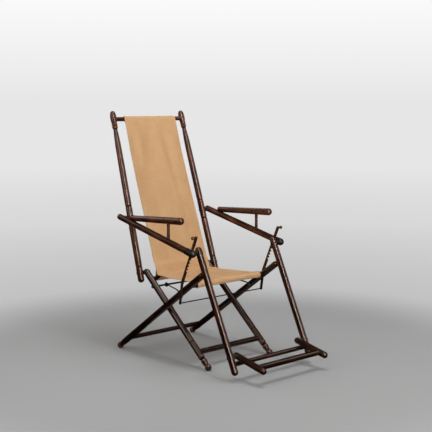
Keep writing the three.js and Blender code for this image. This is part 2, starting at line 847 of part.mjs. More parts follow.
function footrestStile(side) {
  const profile = [
    ...roundEnd(footrestRadius, -footrestHead, -1, 3),
    ...roundEnd(footrestRadius, footrestReach, 1, 3),
  ]
  return cut(turned(profile, woodSides), [
    boltHole(0, footrestRadius),
    boltHole(footBarReach, footrestRadius),
    socket(stopRod, side, footrestRadius),
  ])
}

for (const [hand, side] of sides) {
  add(footrest, `footrest_stile_${hand}`, footrestStile(side), 'wood', side * footrestHalf)
}
add(footrest, 'footrest_stop_rod', crossRail(stopRod, footrestHalf, footrestRadius), 'wood')

// Pins that carry the foot bars, each with a collar turned on it between bar and stile.
for (const [hand, side] of sides) {
  const barInner = footBarHalf - footBarRadius - fit
  const barOuter = footBarHalf + footBarRadius + fit
  const stileInner = footrestHalf - footrestRadius - fit
  const stileOuter = footrestHalf + footrestRadius + fit
  const profile = [
    ...scaled(pinHeadShares, boltHeadRadius, barInner, -boltHeadHeight).reverse(),
    [boltRadius, barInner],
    [boltRadius, barOuter],
    [collarRadius, barOuter],
    [collarRadius, stileInner],
    [boltRadius, stileInner],
    [boltRadius, stileOuter],
    ...scaled(pinHeadShares, boltHeadRadius, stileOuter, boltHeadHeight),
  ]
  const pin = handed(turnedAcross(profile, ironSides), side)
  add(footrest, `foot_bar_pin_${hand}`, pin, 'iron').position.z = footBarReach
}

// Foot bars with the heel rod between them.
const footBars = frameAt(barPivot, barAngle)

function footBar(side) {
  const profile = [
    ...roundEnd(footBarRadius, -footBarTail, -1, 3),
    ...roundEnd(footBarRadius, footBarLength, 1, 3),
  ]
  return cut(turned(profile, woodSides), [
    boltHole(0, footBarRadius),
    socket(heelRod, side, footBarRadius),
  ])
}

for (const [hand, side] of sides) {
  add(footBars, `foot_bar_${hand}`, footBar(side), 'wood', side * footBarHalf)
}
add(footBars, 'heel_rod', crossRail(heelRod, footBarHalf, footBarRadius), 'wood')

// Canvas: each sheet is swept across the chair along a route in the side view.

// Points on the round of a sleeve, from one angle to another about a rail.
function sleeveArc(centre, radius, from, to, steps) {
  const points = []
  for (let i = 0; i <= steps; i += 1) {
    points.push(along(centre, THREE.MathUtils.lerp(from, to, i / steps), radius))
  }
  return points
}

// The straight way from one point to another, without its ends, sagging in the middle.
function span(from, to, steps, sag) {
  const points = []
  const normal = new THREE.Vector2(from.y - to.y, to.x - from.x).normalize()
  for (let i = 1; i < steps; i += 1) {
    const share = i / steps
    const point = from.clone().lerp(to, share)
    points.push(point.addScaledVector(normal, sag * 4 * share * (1 - share)))
  }
  return points
}

// A closed cloth of even thickness along a route, with its half width and a fold at each place.
function cloth(route, halfAt, foldAt, across) {
  const rows = route.length
  const columns = across + 1
  const positions = []
  for (const face of [1, -1]) {
    for (let i = 0; i < rows; i += 1) {
      const before = route[Math.max(i - 1, 0)]
      const after = route[Math.min(i + 1, rows - 1)]
      const way = after.clone().sub(before).normalize()
      const normal = new THREE.Vector2(-way.y, way.x)
      for (let j = 0; j < columns; j += 1) {
        const share = (2 * j) / across - 1
        const reach = (face * clothThickness) / 2 + foldAt(i, share)
        const point = route[i].clone().addScaledVector(normal, reach)
        positions.push(share * halfAt(i), point.x, point.y)
      }
    }
  }
  const index = []
  const quad = (a, b, c, d) => index.push(a, b, c, a, c, d)
  const node = (face, i, j) => (face * rows + i) * columns + j
  for (let i = 0; i < rows - 1; i += 1) {
    for (let j = 0; j < across; j += 1) {
      quad(node(0, i, j), node(0, i + 1, j), node(0, i + 1, j + 1), node(0, i, j + 1))
      quad(node(1, i, j), node(1, i, j + 1), node(1, i + 1, j + 1), node(1, i + 1, j))
    }
    quad(node(0, i, 0), node(1, i, 0), node(1, i + 1, 0), node(0, i + 1, 0))
    quad(node(0, i, across), node(0, i + 1, across), node(1, i + 1, across), node(1, i, across))
  }
  for (let j = 0; j < across; j += 1) {
    quad(node(0, 0, j), node(0, 0, j + 1), node(1, 0, j + 1), node(1, 0, j))
    quad(node(0, rows - 1, j), node(1, rows - 1, j), node(1, rows - 1, j + 1), node(0, rows - 1, j + 1))
  }
  const geometry = new THREE.BufferGeometry()
  geometry.setAttribute('position', new THREE.Float32BufferAttribute(positions, 3))
  geometry.setIndex(index)
  return closed(geometry)
}

// Seat: from a hem under the rear rail, over its top, forward over the front rail and under again.
const rearWrap = rearSeatRail.radius + clothThickness / 2 + clothGap
const frontWrap = frontSeatRail.radius + clothThickness / 2 + clothGap
const layerGap = clothThickness + clothGap
const seatRun = frontRailCentre.clone().sub(rearRailCentre)
const seatAngle = seatRun.angle()
const seatUp = seatAngle - Math.PI / 2
const rearLeave = along(rearRailCentre, seatUp, rearWrap)
const frontLand = along(frontRailCentre, seatUp, frontWrap)
const hemDrop = heading(seatUp).multiplyScalar(-layerGap - seatSag)
const seatRoute = [
  along(rearLeave, seatAngle, hemLength).add(hemDrop),
  ...sleeveArc(rearRailCentre, rearWrap, seatUp - sleeveTurn, seatUp, sleeveSteps),
  ...span(rearLeave, frontLand, seatSteps, seatSag),
  ...sleeveArc(frontRailCentre, frontWrap, seatUp, seatUp + sleeveTurn, sleeveSteps),
  along(frontLand, seatAngle, -hemLength).add(hemDrop),
]
const seatHalf = (row) => {
  const share = THREE.MathUtils.clamp((seatRoute[row].x - rearRailCentre.x) / seatRun.x, 0, 1)
  return THREE.MathUtils.lerp(seatRearClothHalf, seatFrontClothHalf, share)
}
const flat = () => 0
add(chair, 'canvas_seat', cloth(seatRoute, seatHalf, flat, seatColumns), 'canvas')

// Back: from a hem behind the top rail, over it, down to the seat and a little forward on it.
const backWrap = topRail.radius + clothThickness / 2 + clothGap
const footWrap = rearWrap + layerGap
const topCentre = along(backHinge, backAngle, topRail.place)
const footLand = along(rearRailCentre, seatUp - footTurn, footWrap)
const backRun = footLand.clone().sub(topCentre)
const backFront = backRun.angle() - Math.PI / 2
const frontOfRail = along(topCentre, backFront, backWrap)
const backHem = frontOfRail.clone().lerp(footLand, hemLength / backRun.length())
const footEnd = along(along(rearRailCentre, seatUp, footWrap), seatAngle, panelOverlap)
const backRoute = [
  along(backHem, backFront, -layerGap - foldDepth),
  ...sleeveArc(topCentre, backWrap, backFront - sleeveTurn, backFront, sleeveSteps),
  ...span(frontOfRail, footLand, panelSteps, backSag),
  ...sleeveArc(rearRailCentre, footWrap, seatUp - footTurn, seatUp, footSteps),
  footEnd,
]
const panelShare = (row) => THREE.MathUtils.clamp((row - sleeveSteps - 1) / panelSteps, 0, 1)
const backHalf = (row) => THREE.MathUtils.lerp(backTopClothHalf, backFootClothHalf, panelShare(row))
const backFold = (row, share) => {
  const wave = Math.cos((share * foldCount * Math.PI) / 2)
  return (foldDepth / 2) * wave * Math.sin(Math.PI * panelShare(row)) * (1 - share ** 4)
}
add(chair, 'canvas_back', cloth(backRoute, backHalf, backFold, backColumns), 'canvas')

export default chair
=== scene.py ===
# %% [markdown]
# # A planters chair: turned wood, blackened iron and a canvas sling
# The chair folds and leans back. Its rods are turned on a lathe, stained dark and polished, its
# struts and stays are smith's iron, and one hemmed canvas sling makes the seat and the back.
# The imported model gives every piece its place. This script gives them their surfaces.

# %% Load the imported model
import json
import math

import bmesh
import bpy
import numpy as np
from mathutils import Matrix, Vector


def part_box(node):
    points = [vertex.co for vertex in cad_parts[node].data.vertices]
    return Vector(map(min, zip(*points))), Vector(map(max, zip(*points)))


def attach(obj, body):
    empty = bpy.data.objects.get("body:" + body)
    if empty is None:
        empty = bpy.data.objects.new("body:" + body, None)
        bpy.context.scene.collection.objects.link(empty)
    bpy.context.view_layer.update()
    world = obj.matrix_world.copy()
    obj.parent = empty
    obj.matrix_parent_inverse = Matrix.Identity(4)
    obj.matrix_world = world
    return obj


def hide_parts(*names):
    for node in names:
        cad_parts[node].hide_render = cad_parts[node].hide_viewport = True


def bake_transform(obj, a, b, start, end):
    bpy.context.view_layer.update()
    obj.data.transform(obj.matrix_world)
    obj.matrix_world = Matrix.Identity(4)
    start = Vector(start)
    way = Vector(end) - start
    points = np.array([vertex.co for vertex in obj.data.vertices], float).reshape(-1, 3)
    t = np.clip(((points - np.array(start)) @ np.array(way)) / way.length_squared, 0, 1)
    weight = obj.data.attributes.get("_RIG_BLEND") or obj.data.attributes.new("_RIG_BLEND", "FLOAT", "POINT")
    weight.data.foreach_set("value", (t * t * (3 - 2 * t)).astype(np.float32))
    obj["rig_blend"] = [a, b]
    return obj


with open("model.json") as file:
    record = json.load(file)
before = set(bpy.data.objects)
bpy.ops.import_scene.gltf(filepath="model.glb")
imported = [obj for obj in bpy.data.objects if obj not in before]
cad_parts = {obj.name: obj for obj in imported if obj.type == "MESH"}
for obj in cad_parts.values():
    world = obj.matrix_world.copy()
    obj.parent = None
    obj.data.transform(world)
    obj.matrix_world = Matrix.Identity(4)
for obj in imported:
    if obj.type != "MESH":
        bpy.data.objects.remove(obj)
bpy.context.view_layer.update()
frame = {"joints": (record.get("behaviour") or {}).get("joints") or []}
MM = 0.001
SIDES = (("left", -1), ("right", 1))
scene = bpy.context.scene
scene.view_settings.view_transform = "Standard"

# %% [markdown]
# ## The camera
# The photograph was taken from the front left with a long lens. The place, the aim and the focal
# length were found by fitting the outlines of the rods, so the camera needs no shift.

# %% Camera
PHOTO_PIXELS, FOCAL_PIXELS = 432, 968
AZIMUTH, LOOKS_DOWN = -42.80, 6.70
camera_data = bpy.data.cameras.new("camera")
camera_data.sensor_width = 36
camera_data.lens = FOCAL_PIXELS / PHOTO_PIXELS * camera_data.sensor_width
camera = bpy.data.objects.new("camera", camera_data)
camera.location = (-2.736, -2.953, 1.074)
camera.rotation_euler = (math.radians(90 - LOOKS_DOWN), 0, math.radians(AZIMUTH))
scene.collection.objects.link(camera)
scene.camera = camera
print("lens", round(camera_data.lens, 1), "mm")

# %% [markdown]
# ## Small helpers
# Colours are picked as sRGB hex values, because that is how paint charts and screens give them,
# while shaders work in linear light, so one function turns one into the other. A second function
# adds any node, sets it up, fills its inputs and links it, so that a material reads from top to
# bottom like a recipe. A node given as a value is linked from its first live output.

# %% Colours and nodes


def linear(hex_colour):
    channels = [int(hex_colour[i:i + 2], 16) / 255 for i in (1, 3, 5)]
    return [c / 12.92 if c <= 0.04045 else ((c + 0.055) / 1.055) ** 2.4 for c in channels] + [1.0]


def node(tree, kind, settings=None, stops=(), **inputs):
    """Adds one node. An input is named by its label with _ for a blank, or by its number after _."""
    made = tree.nodes.new("ShaderNode" + kind)
    for name, value in (settings or {}).items():
        setattr(made, name, value)
    for number, (place, colour) in enumerate(stops):
        elements = made.color_ramp.elements
        stop = elements[number] if number < 2 else elements.new(place)
        stop.position, stop.color = place, linear(colour)
    for name, value in inputs.items():
        socket = made.inputs[int(name[1:]) if name[1:].isdigit() else name.replace("_", " ")]
        if isinstance(value, bpy.types.Node):
            value = next(output for output in value.outputs if output.enabled)
        if isinstance(value, bpy.types.NodeSocket):
            tree.links.new(value, socket)
        else:
            socket.default_value = linear(value) if isinstance(value, str) else value
    return made


def material(name):
    made = bpy.data.materials.new(name)
    made.use_nodes = True
    made.node_tree.nodes.clear()
    return made, made.node_tree


print("red wine is", [round(v, 3) for v in linear("#722f37")])

# %% [markdown]
# ## The studio
# The photograph has a grey floor, a white wall and broad soft lamps. Here the floor is one wide
# disc that pales with distance into a pale surround, so that it looks the same from every side.
# The surround shows its full paleness only to the camera and in reflections.

# %% Floor and surround
SURROUND = "#e6e6e6"
FLOOR_RADIUS = 12.0


def placed(mesh, name, *coats):
    """Turns a bmesh into an object of the scene, with its materials."""
    data = bpy.data.meshes.new(name)
    mesh.to_mesh(data)
    mesh.free()
    made = bpy.data.objects.new(name, data)
    scene.collection.objects.link(made)
    for coat in coats:
        data.materials.append(coat)
    return made


floor_paint, tree = material("pale grey studio floor")
place = node(tree, "TexCoord").outputs["Object"]
distance = node(tree, "VectorMath", {"operation": "LENGTH"}, _0=place).outputs["Value"]
grey = node(tree, "BsdfPrincipled", Base_Color="#aeaeae", Roughness=0.8, Specular_IOR_Level=0.1)
share = node(tree, "Math", {"operation": "DIVIDE"}, _0=distance, _1=FLOOR_RADIUS)
paler = node(tree, "ValToRGB", stops=[(0.12, "#c0c0c0"), (0.4, "#d8d8d8"), (1.0, SURROUND)], Fac=share)
pale = node(tree, "Emission", Color=paler, Strength=1.0)
fade = node(tree, "MapRange", {"interpolation_type": "SMOOTHSTEP"}, Value=distance, From_Min=0.95,
            From_Max=1.7)
mixed = node(tree, "MixShader", _0=fade, _1=grey, _2=pale)
node(tree, "OutputMaterial", Surface=mixed)
mesh = bmesh.new()
bmesh.ops.create_circle(mesh, cap_ends=True, segments=96, radius=FLOOR_RADIUS)
placed(mesh, "floor", floor_paint)

world = bpy.data.worlds.new("soft studio")
scene.world = world
world.use_nodes = True
tree = world.node_tree
tree.nodes.clear()
ray = node(tree, "LightPath")
seen = ray.outputs["Is Camera Ray"]
for kind in ("Is Glossy Ray", "Is Transmission Ray"):
    seen = node(tree, "Math", {"operation": "MAXIMUM"}, _0=seen, _1=ray.outputs[kind])
ambient = node(tree, "Background", Color="#ffffff", Strength=0.20)
height = node(tree, "SeparateXYZ", Vector=node(tree, "TexCoord")).outputs["Z"]
paler = node(tree, "ValToRGB", stops=[(0.0, SURROUND), (0.1, "#fafafa")], Fac=height)
shown = node(tree, "Background", Color=paler, Strength=1.0)
mixed = node(tree, "MixShader", _0=seen, _1=ambient, _2=shown)
node(tree, "OutputWorld", Surface=mixed)
print("floor", floor_paint.name)

# %% [markdown]
# ## Lamps and a black cloth
# Soft lamps stand on all sides at a plain level. Polished rods are mirrors bent round, so what they
# mirror makes their look: long dark bands with one bright line. A studio hangs black cloth round
# the set for that. Here a spun tent of it stands round the chair, and only reflections see it. One
# more strip lamp is seen by polish alone, so that it draws the bright line and adds no light.

# %% Lamps and cloth


def lamp(name, at, size, watts, polish_only=False):
    data = bpy.data.lights.new(name, "AREA")
    data.shape = "RECTANGLE"
    data.size, data.size_y = size
    data.energy = watts
    made = bpy.data.objects.new(name, data)
    made.location = at
    made.rotation_euler = (Vector((0, 0, 0.5)) - Vector(at)).to_track_quat("-Z", "Y").to_euler()
    made.visible_diffuse = not polish_only
    made.visible_camera = False
    scene.collection.objects.link(made)


lamp("top softbox", (0.2, -0.4, 3.2), (1.3, 1.3), 35)
lamp("fill on the right", (2.5, -1.7, 1.6), (0.7, 2.2), 13)
lamp("softbox on the left", (-2.6, 0.2, 1.95), (1.2, 2.0), 23)
lamp("softbox behind", (-1.2, 2.8, 2.3), (2.2, 1.8), 15)
lamp("fill behind", (1.6, 2.6, 1.8), (1.4, 2.0), 11)
lamp("strip in front", (-0.2, -3.4, 1.3), (0.3, 2.6), 48)
lamp("strip for the polish", (-1.5, -3.2, 2.3), (0.2, 4.4), 190, polish_only=True)

TENT = ((0.3, 0.004), (5.6, 0.004), (5.6, 4.0), (1.4, 4.6))
mesh = bmesh.new()
points = [mesh.verts.new((reach, 0, height)) for reach, height in TENT]
lines = [mesh.edges.new(pair) for pair in zip(points, points[1:])]
bmesh.ops.spin(mesh, geom=points + lines, cent=(0, 0, 0), axis=(0, 0, 1), angle=2 * math.pi, steps=48,
               use_merge=True)
black, tree = material("black studio cloth")
cloth = node(tree, "BsdfPrincipled", Base_Color="#050505", Roughness=1.0, Specular_IOR_Level=0.0)
node(tree, "OutputMaterial", Surface=cloth)
black_cloth = placed(mesh, "black_cloth", black)
black_cloth.visible_camera = black_cloth.visible_diffuse = black_cloth.visible_shadow = False
print("lamps:", len(bpy.data.lights))

# %% [markdown]
# ## Stained and polished wood
# The rods look like beech, stained a dark red brown and polished with shellac. Beech shows short
# dark fibres along the rod, the stain is blotchy, and a century of hands has rubbed the crests of
# the turnings warm. The grooves are darkened near black, as painted shade over old wax. The fibres
# must run along each rod, so every rod carries its own coordinates as an attribute named `rod`, and a
# second attribute says how proud or how sunken each ring of the turning is. A third attribute makes
# each whole rod paler or darker. The arms and the back are paler, partly from the rubbing of hands and
# partly as painted light. The legs are darker and the low stretchers darkest, as painted shade, and
# the stretchers also get a thinner coat, so that they stay dull.
# Shellac is a smooth clear coat over rougher wood, so the shader has a coat of its own, and the
# fibres bump only the wood below it. A painter lays glazes one over another, and one function does
# that: a glaze is a pattern, the values where it starts and ends, how strong it is at both, and its
# colour.

# %% Wood finish
FIBRE_MM = 1.1
FLECK_MM = 3.0


def grain(width_mm, stretch):
    """Scales that make a pattern width_mm wide, and stretch times as long down the rod."""
    size = 1 / (width_mm * MM)
    return size, size, size / stretch


def glazed(tree, colour, *glazes):
    """The colour under all its glazes, and the strength of the last one."""
    for pattern, start, end, weak, strong, tint in glazes:
        share = node(tree, "MapRange", Value=pattern, From_Min=start, From_Max=end, To_Min=weak,
                     To_Max=strong)
        colour = node(tree, "Mix", {"data_type": "RGBA"}, _0=share, _6=colour, _7=tint)
    return colour, share


wood, tree = material("dark stained beech, shellac polished")
rod = node(tree, "Attribute", {"attribute_name": "rod"}).outputs["Vector"]
crest_wear_and_groove_shade = node(tree, "Attribute", {"attribute_name": "crest_wear_and_groove_shade"}).outputs["Fac"]
rubbing_and_light = node(tree, "Attribute", {"attribute_name": "rubbing_and_light"}).outputs["Fac"]

scaled = node(tree, "Mapping", Vector=rod, Scale=grain(FIBRE_MM, 26))
fibres = node(tree, "TexNoise", Vector=scaled, Scale=1.0, Detail=5.0, Roughness=0.62)
scaled = node(tree, "Mapping", Vector=rod, Scale=grain(FLECK_MM, 6))
flecks = node(tree, "TexNoise", Vector=scaled, Scale=1.0, Detail=2.0)
scaled = node(tree, "Mapping", Vector=rod, Scale=grain(22, 3.5))
blotches = node(tree, "TexNoise", Vector=scaled, Scale=1.0, Detail=3.0, Roughness=0.55)
scaled = node(tree, "Mapping", Vector=rod, Scale=grain(9, 14))
rings = node(tree, "TexWave", {"wave_type": "RINGS", "rings_direction": "Z"}, Vector=scaled, Scale=1.0,
             Distortion=3.5, Detail=2.0, Detail_Scale=0.8).outputs["Fac"]

# The stain lies in blotches. It is paler on the arms and the back, partly where hands and sleeves rub
# the rod and partly as painted light. It is darker on the legs and darkest on the low stretchers, as
# painted shade. Year rings and pores are darker than the wood round them, and flecks are warmer.
# Crests are rubbed warm, and the grooves are darkened near black, as painted shade over old wax.
paler = node(tree, "Math", {"operation": "MULTIPLY_ADD"}, _0=rubbing_and_light, _1=0.30, _2=blotches)
stain = node(tree, "ValToRGB", Fac=paler,
             stops=[(0.34, "#090301"), (0.56, "#1c0c05"), (0.80, "#4c2614"), (1.0, "#7a4228")])
stain, waxed = glazed(
    tree, stain, (rings, 0.1, 0.9, 0, 0.34, "#150804"), (fibres, 0.42, 0.72, 0, 0.62, "#0d0502"),
    (flecks, 0.60, 0.72, 0, 0.35, "#6e3b24"), (crest_wear_and_groove_shade, 0.52, 0.85, 0, 0.55, "#94603c"),
    (crest_wear_and_groove_shade, 0.46, 0.25, 0, 0.92, "#0a0402"))

# The share of the groove glaze, painted shade over old wax, also makes the grooves matt.
matt = node(tree, "MapRange", Value=blotches, From_Min=0.3, From_Max=0.7, To_Min=0.26, To_Max=0.36)
matt = node(tree, "Math", {"operation": "MULTIPLY_ADD"}, _0=waxed, _1=0.25, _2=matt)
relief = node(tree, "Bump", Strength=0.25, Distance=0.00006, Height=fibres)
# The stretchers, painted darkest as shade, also get a thinner coat.
polish = node(tree, "MapRange", Value=rubbing_and_light, From_Min=-0.4, From_Max=0.0, To_Min=0.08, To_Max=0.55)
shellac = node(tree, "BsdfPrincipled", Base_Color=stain, Roughness=matt, Normal=relief, IOR=1.5,
               Specular_IOR_Level=0.4, Specular_Tint="#e6a585", Coat_Weight=polish, Coat_Roughness=0.07,
               Coat_IOR=1.5)
node(tree, "OutputMaterial", Surface=shellac)

wax, tree = material("old black wax, matt")
dust = node(tree, "TexNoise", Vector=node(tree, "TexCoord").outputs["Object"], Scale=1 / (4 * MM), Detail=3.0)
dusty = node(tree, "ValToRGB", stops=[(0.4, "#020101"), (0.8, "#0d0705")], Fac=dust)
matt_wax = node(tree, "BsdfPrincipled", Base_Color=dusty, Roughness=0.9, Specular_IOR_Level=0.08)
node(tree, "OutputMaterial", Surface=matt_wax)
print("wood: fibres", FIBRE_MM, "mm wide")

# %% [markdown]
# ## Blackened iron
# The struts, stays and bolts are forged and bar iron, blacked with oil at the forge. The black
# wears off edges to grey metal, and brown rust blooms where it was touched. A little metal shows
# through everywhere, so the shader is mostly metal with a rough, pitted face. The struts and their
# grips are handled at each change of slope, and hands have turned their black to a golden brown.

# %% Iron finish
PIT_MM = 1.6


def ironwork(name, metal_tones, rust_tone):
    """Forged iron: pitted, scuffed through its tones and touched with rust."""
    made, tree = material(name)
    place = node(tree, "TexCoord").outputs["Object"]
    pits = node(tree, "TexNoise", Vector=place, Scale=1 / (PIT_MM * MM), Detail=4.0, Roughness=0.6)
    bloom = node(tree, "TexNoise", Vector=place, Scale=1 / (14 * MM), Detail=5.0, Roughness=0.65)
    scuffs = node(tree, "TexNoise", Vector=place, Scale=1 / (5 * MM), Detail=3.0)
    tone = node(tree, "ValToRGB", stops=list(zip((0.3, 0.55, 0.8), metal_tones)), Fac=scuffs)
    tone, rust = glazed(tree, tone, (bloom, 0.55, 0.70, 0, 0.75, rust_tone))
    relief = node(tree, "Bump", Strength=0.5, Distance=0.0002, Height=pits)
    smooth = node(tree, "MapRange", Value=bloom, From_Min=0.3, From_Max=0.7, To_Min=0.30, To_Max=0.55)
    metal = node(tree, "Math", {"operation": "MULTIPLY_ADD"}, _0=rust, _1=-0.8, _2=0.85)
    forged = node(tree, "BsdfPrincipled", Base_Color=tone, Roughness=smooth, Normal=relief, Metallic=metal)
    node(tree, "OutputMaterial", Surface=forged)
    return made


iron = ironwork("oil-blackened forged iron", ("#1b1714", "#2e2822", "#5f523f"), "#3d2416")
browned = ironwork("forged iron, browned by hands", ("#33200f", "#5c3c1c", "#a07843"), "#6b3c18")
print("iron: pits", PIT_MM, "mm")

# %% [markdown]
# ## Canvas and thread
# The sling is tan cotton duck in a plain weave: each thread goes over one and under the next.
# The cloth carries a UV map that holds its flat place in metres, so the weave follows every
# fold. Two sine ridges, one for each way of the threads, take turns at being on top. Duck has
# about eight threads in a centimetre. Here they are drawn 1.9 mm apart so that they still show.

# %% Canvas finish
THREAD_MM = 1.9
SLUB_MM = 60

canvas, tree = material("tan cotton duck, plain woven")
flat_place = node(tree, "UVMap", {"uv_map": "cloth"})
in_threads = node(tree, "VectorMath", {"operation": "SCALE"}, _0=flat_place, Scale=1 / (THREAD_MM * MM))
in_threads = node(tree, "SeparateXYZ", Vector=in_threads)
over_cloth, down_cloth = in_threads.outputs["X"], in_threads.outputs["Y"]


def thread_height(here, other, turn):
    """The round of a thread, raised where it passes over the threads that cross it."""
    inside = node(tree, "Math", {"operation": "FRACT"}, _0=here)
    inside = node(tree, "Math", {"operation": "MULTIPLY"}, _0=inside, _1=math.pi)
    round_top = node(tree, "Math", {"operation": "SINE"}, _0=inside)
    number = node(tree, "Math", {"operation": "FLOOR"}, _0=here)
    phase = node(tree, "Math", {"operation": "ADD"}, _0=other, _1=number)
    phase = node(tree, "Math", {"operation": "MULTIPLY_ADD"}, _0=phase, _1=math.pi, _2=turn * math.pi)
    rise = node(tree, "Math", {"operation": "COSINE"}, _0=phase)
    rise = node(tree, "Math", {"operation": "MULTIPLY_ADD"}, _0=rise, _1=0.375, _2=0.625)
    return node(tree, "Math", {"operation": "MULTIPLY"}, _0=round_top, _1=rise)


warp = thread_height(over_cloth, down_cloth, 0.5)
weft = thread_height(down_cloth, over_cloth, 1.5)
weave = node(tree, "Math", {"operation": "MAXIMUM"}, _0=warp, _1=weft)
streaks = []
for wide, long in ((THREAD_MM, SLUB_MM), (SLUB_MM, THREAD_MM), (34, 420)):
    scaled = node(tree, "Mapping", Vector=flat_place, Scale=(1 / (wide * MM), 1 / (long * MM), 1))
    streaks.append(node(tree, "TexNoise", Vector=scaled, Scale=1.0, Detail=2.0))
slubs_down, slubs_across, bands = streaks
handling = node(tree, "TexNoise", Vector=flat_place, Scale=1 / (75 * MM), Detail=4.0, Roughness=0.6)

cotton = node(tree, "ValToRGB", stops=[(0.25, "#cca073"), (0.5, "#d2a779"), (0.78, "#d8ae80")], Fac=handling)
painted_fold_shade = node(tree, "Attribute", {"attribute_name": "fold_shade"}).outputs["Fac"]
# Among the glazes, the hollows of the folds are darkened as painted shade.
cotton, share = glazed(
    tree, cotton, (bands, 0.35, 0.7, 0, 0.22, "#bb8c5e"), (painted_fold_shade, 0, 1, 0, 0.6, "#a0744a"),
    (slubs_down, 0.35, 0.7, 0, 0.32, "#bd8d5f"), (slubs_across, 0.35, 0.7, 0, 0.24, "#e4c29a"),
    # painted shade in the gaps between the threads of the weave
    (weave, 0.1, 0.55, 0.5, 0, "#8f6540"))
relief = node(tree, "Bump", Strength=0.55, Distance=0.0005, Height=weave)
duck = node(tree, "BsdfPrincipled", Base_Color=cotton, Roughness=0.92, Normal=relief, Sheen_Weight=0.06,
            Sheen_Roughness=0.5, Specular_IOR_Level=0.12)
node(tree, "OutputMaterial", Surface=duck)

thread, tree = material("waxed linen thread")
place = node(tree, "TexCoord").outputs["Object"]
twist = node(tree, "TexNoise", Vector=place, Scale=1 / (1.2 * MM), Detail=2.0)
linen = node(tree, "ValToRGB", stops=[(0.3, "#b58a5e"), (0.7, "#e0c197")], Fac=twist)
waxed_linen = node(tree, "BsdfPrincipled", Base_Color=linen, Roughness=0.7)
node(tree, "OutputMaterial", Surface=waxed_linen)
print("canvas: threads", THREAD_MM, "mm apart")

# %% [markdown]
# ## A lathe
# Turning is the oldest way to make such a part: the rod spins and the tool cuts rings. Blender's
# spin operator does the same with half of an outline. An outline is written as a turner would
# name it, in millimetres along the rod: a straight, a round end, a bead that stands proud, a cove
# that is hollowed out and a scored line. A fine outline makes the turnings crisp. Comparing it with
# a smoothed copy of itself tells crests from grooves, so that the crests can be rubbed warm and the
# grooves darkened as painted shade over old wax.

# %% Turner's vocabulary


def straight(radius_from, place_from, radius_to, place_to, step=12):
    count = max(1, round(abs(place_to - place_from) / step))
    shares = [i / count for i in range(count + 1)]
    return [(radius_from + (radius_to - radius_from) * s, place_from + (place_to - place_from) * s)
            for s in shares]


def round_end(radius, centre, way, steps=9, flatness=1.0):
    """A quarter circle from the axis to the full radius, or back. way says which end it closes."""
    turns = [i / steps * math.pi / 2 for i in range(steps + 1)]
    points = [(radius * math.sin(t), centre + way * flatness * radius * math.cos(t)) for t in turns]
    return points[::-1] if way > 0 else points


def bead(radius, height, start, width, steps=8):
    turns = [i / steps * math.pi for i in range(steps + 1)]
    return [(radius + height * math.sin(t), start + width * (1 - math.cos(t)) / 2) for t in turns]


def cove(radius, depth, start, width, steps=8):
    return bead(radius, -depth, start, width, steps)


def scored(radius, place, depth=1.1, width=2.4):
    """A cut line: a steep wall, a flat bottom and another wall."""
    half = [(radius, width * 0.7), (radius - 0.05, width * 0.5), (radius - depth, width * 0.42)]
    return [(r, place - w) for r, w in half] + [(r, place + w) for r, w in half[::-1]]


def tidy_outline(points):
    kept = []
    for radius, place in points:
        if not kept or math.hypot(radius - kept[-1][0], place - kept[-1][1]) > 0.02:
            kept.append((max(radius, 0.0), place))
    return kept


def crest_groove_shares(outline):
    """0.5 on a plain rod, more on crests and less in grooves, from the outline and a smoothed copy."""
    places = np.array([p for _, p in outline])
    radii = np.array([r for r, _ in outline])
    full = np.flatnonzero(radii > 0.9 * radii.max())
    body = (np.arange(len(radii)) >= full[0]) & (np.arange(len(radii)) <= full[-1])
    shares = []
    for radius, place, turned in zip(radii, places, body):
        weights = np.exp(-((places - place) / 5.0) ** 2) * body
        usual = (weights * radii).sum() / max(weights.sum(), 1e-9)
        shares.append(min(1.0, max(0.0, 0.5 + (radius - usual) / 3.0)) if turned else 0.5)
    return shares


print("outline of a bead:", [round(r, 2) for r, _ in bead(10, 2, 0, 6)])

# %% Lathe
SHARP_ANGLE = math.radians(38)
wood_count = 0


def finished(mesh, name, body, finish, node_name=None):
    """Makes the object, smooths it, and gives it its body and the CAD node that it stands for."""
    piece = placed(mesh, name, *((finish, wax) if finish == wood else (finish,)))
    piece.data.shade_smooth()
    piece.data.set_sharp_from_angle(angle=SHARP_ANGLE)
    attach(piece, body)
    if node_name:
        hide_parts(node_name)
    return piece


def stand(start, way):
    """A matrix that lays Z along way, from start, with X kept across the chair as nearly as it can be."""
    z = Vector(way).normalized()
    x = Vector((1, 0, 0)) if abs(z.x) < 0.9 else Vector((0, 1, 0))
    x = (x - z * x.dot(z)).normalized()
    turn = Matrix((x, z.cross(x), z)).transposed().to_4x4()
    return Matrix.Translation(Vector(start)) @ turn


def spun(outline, segments):
    """A closed mesh from half an outline, with the rod's own coordinates and its wear."""
    outline = tidy_outline(outline)
    mesh = bmesh.new()
    crest_groove_layer = mesh.verts.layers.float.new("crest_wear_and_groove_shade")
    points = []
    for (radius, place), share in zip(outline, crest_groove_shares(outline)):
        point = mesh.verts.new((radius * MM, 0, place * MM))
        point[crest_groove_layer] = share
        points.append(point)
    lines = [mesh.edges.new(pair) for pair in zip(points, points[1:])]
    bmesh.ops.spin(mesh, geom=points + lines, cent=(0, 0, 0), axis=(0, 0, 1), angle=2 * math.pi,
                   steps=segments, use_merge=True)
    bmesh.ops.remove_doubles(mesh, verts=mesh.verts, dist=1e-6)
    bmesh.ops.recalc_face_normals(mesh, faces=mesh.faces)
    return mesh


# How much paler each body's rods are painted: partly for rubbing by hands and partly as painted light on the
# upper rods. The low rods are painted darker, as painted shade.
RUBBING_AND_LIGHT = {"arms": 0.9, "back": 1.0, "footrest": 0.35, "foot_bars": 0.2}
LITTLE_RUBBING_AND_LIGHT = 0.05
WAXED_BELOW = 0.32


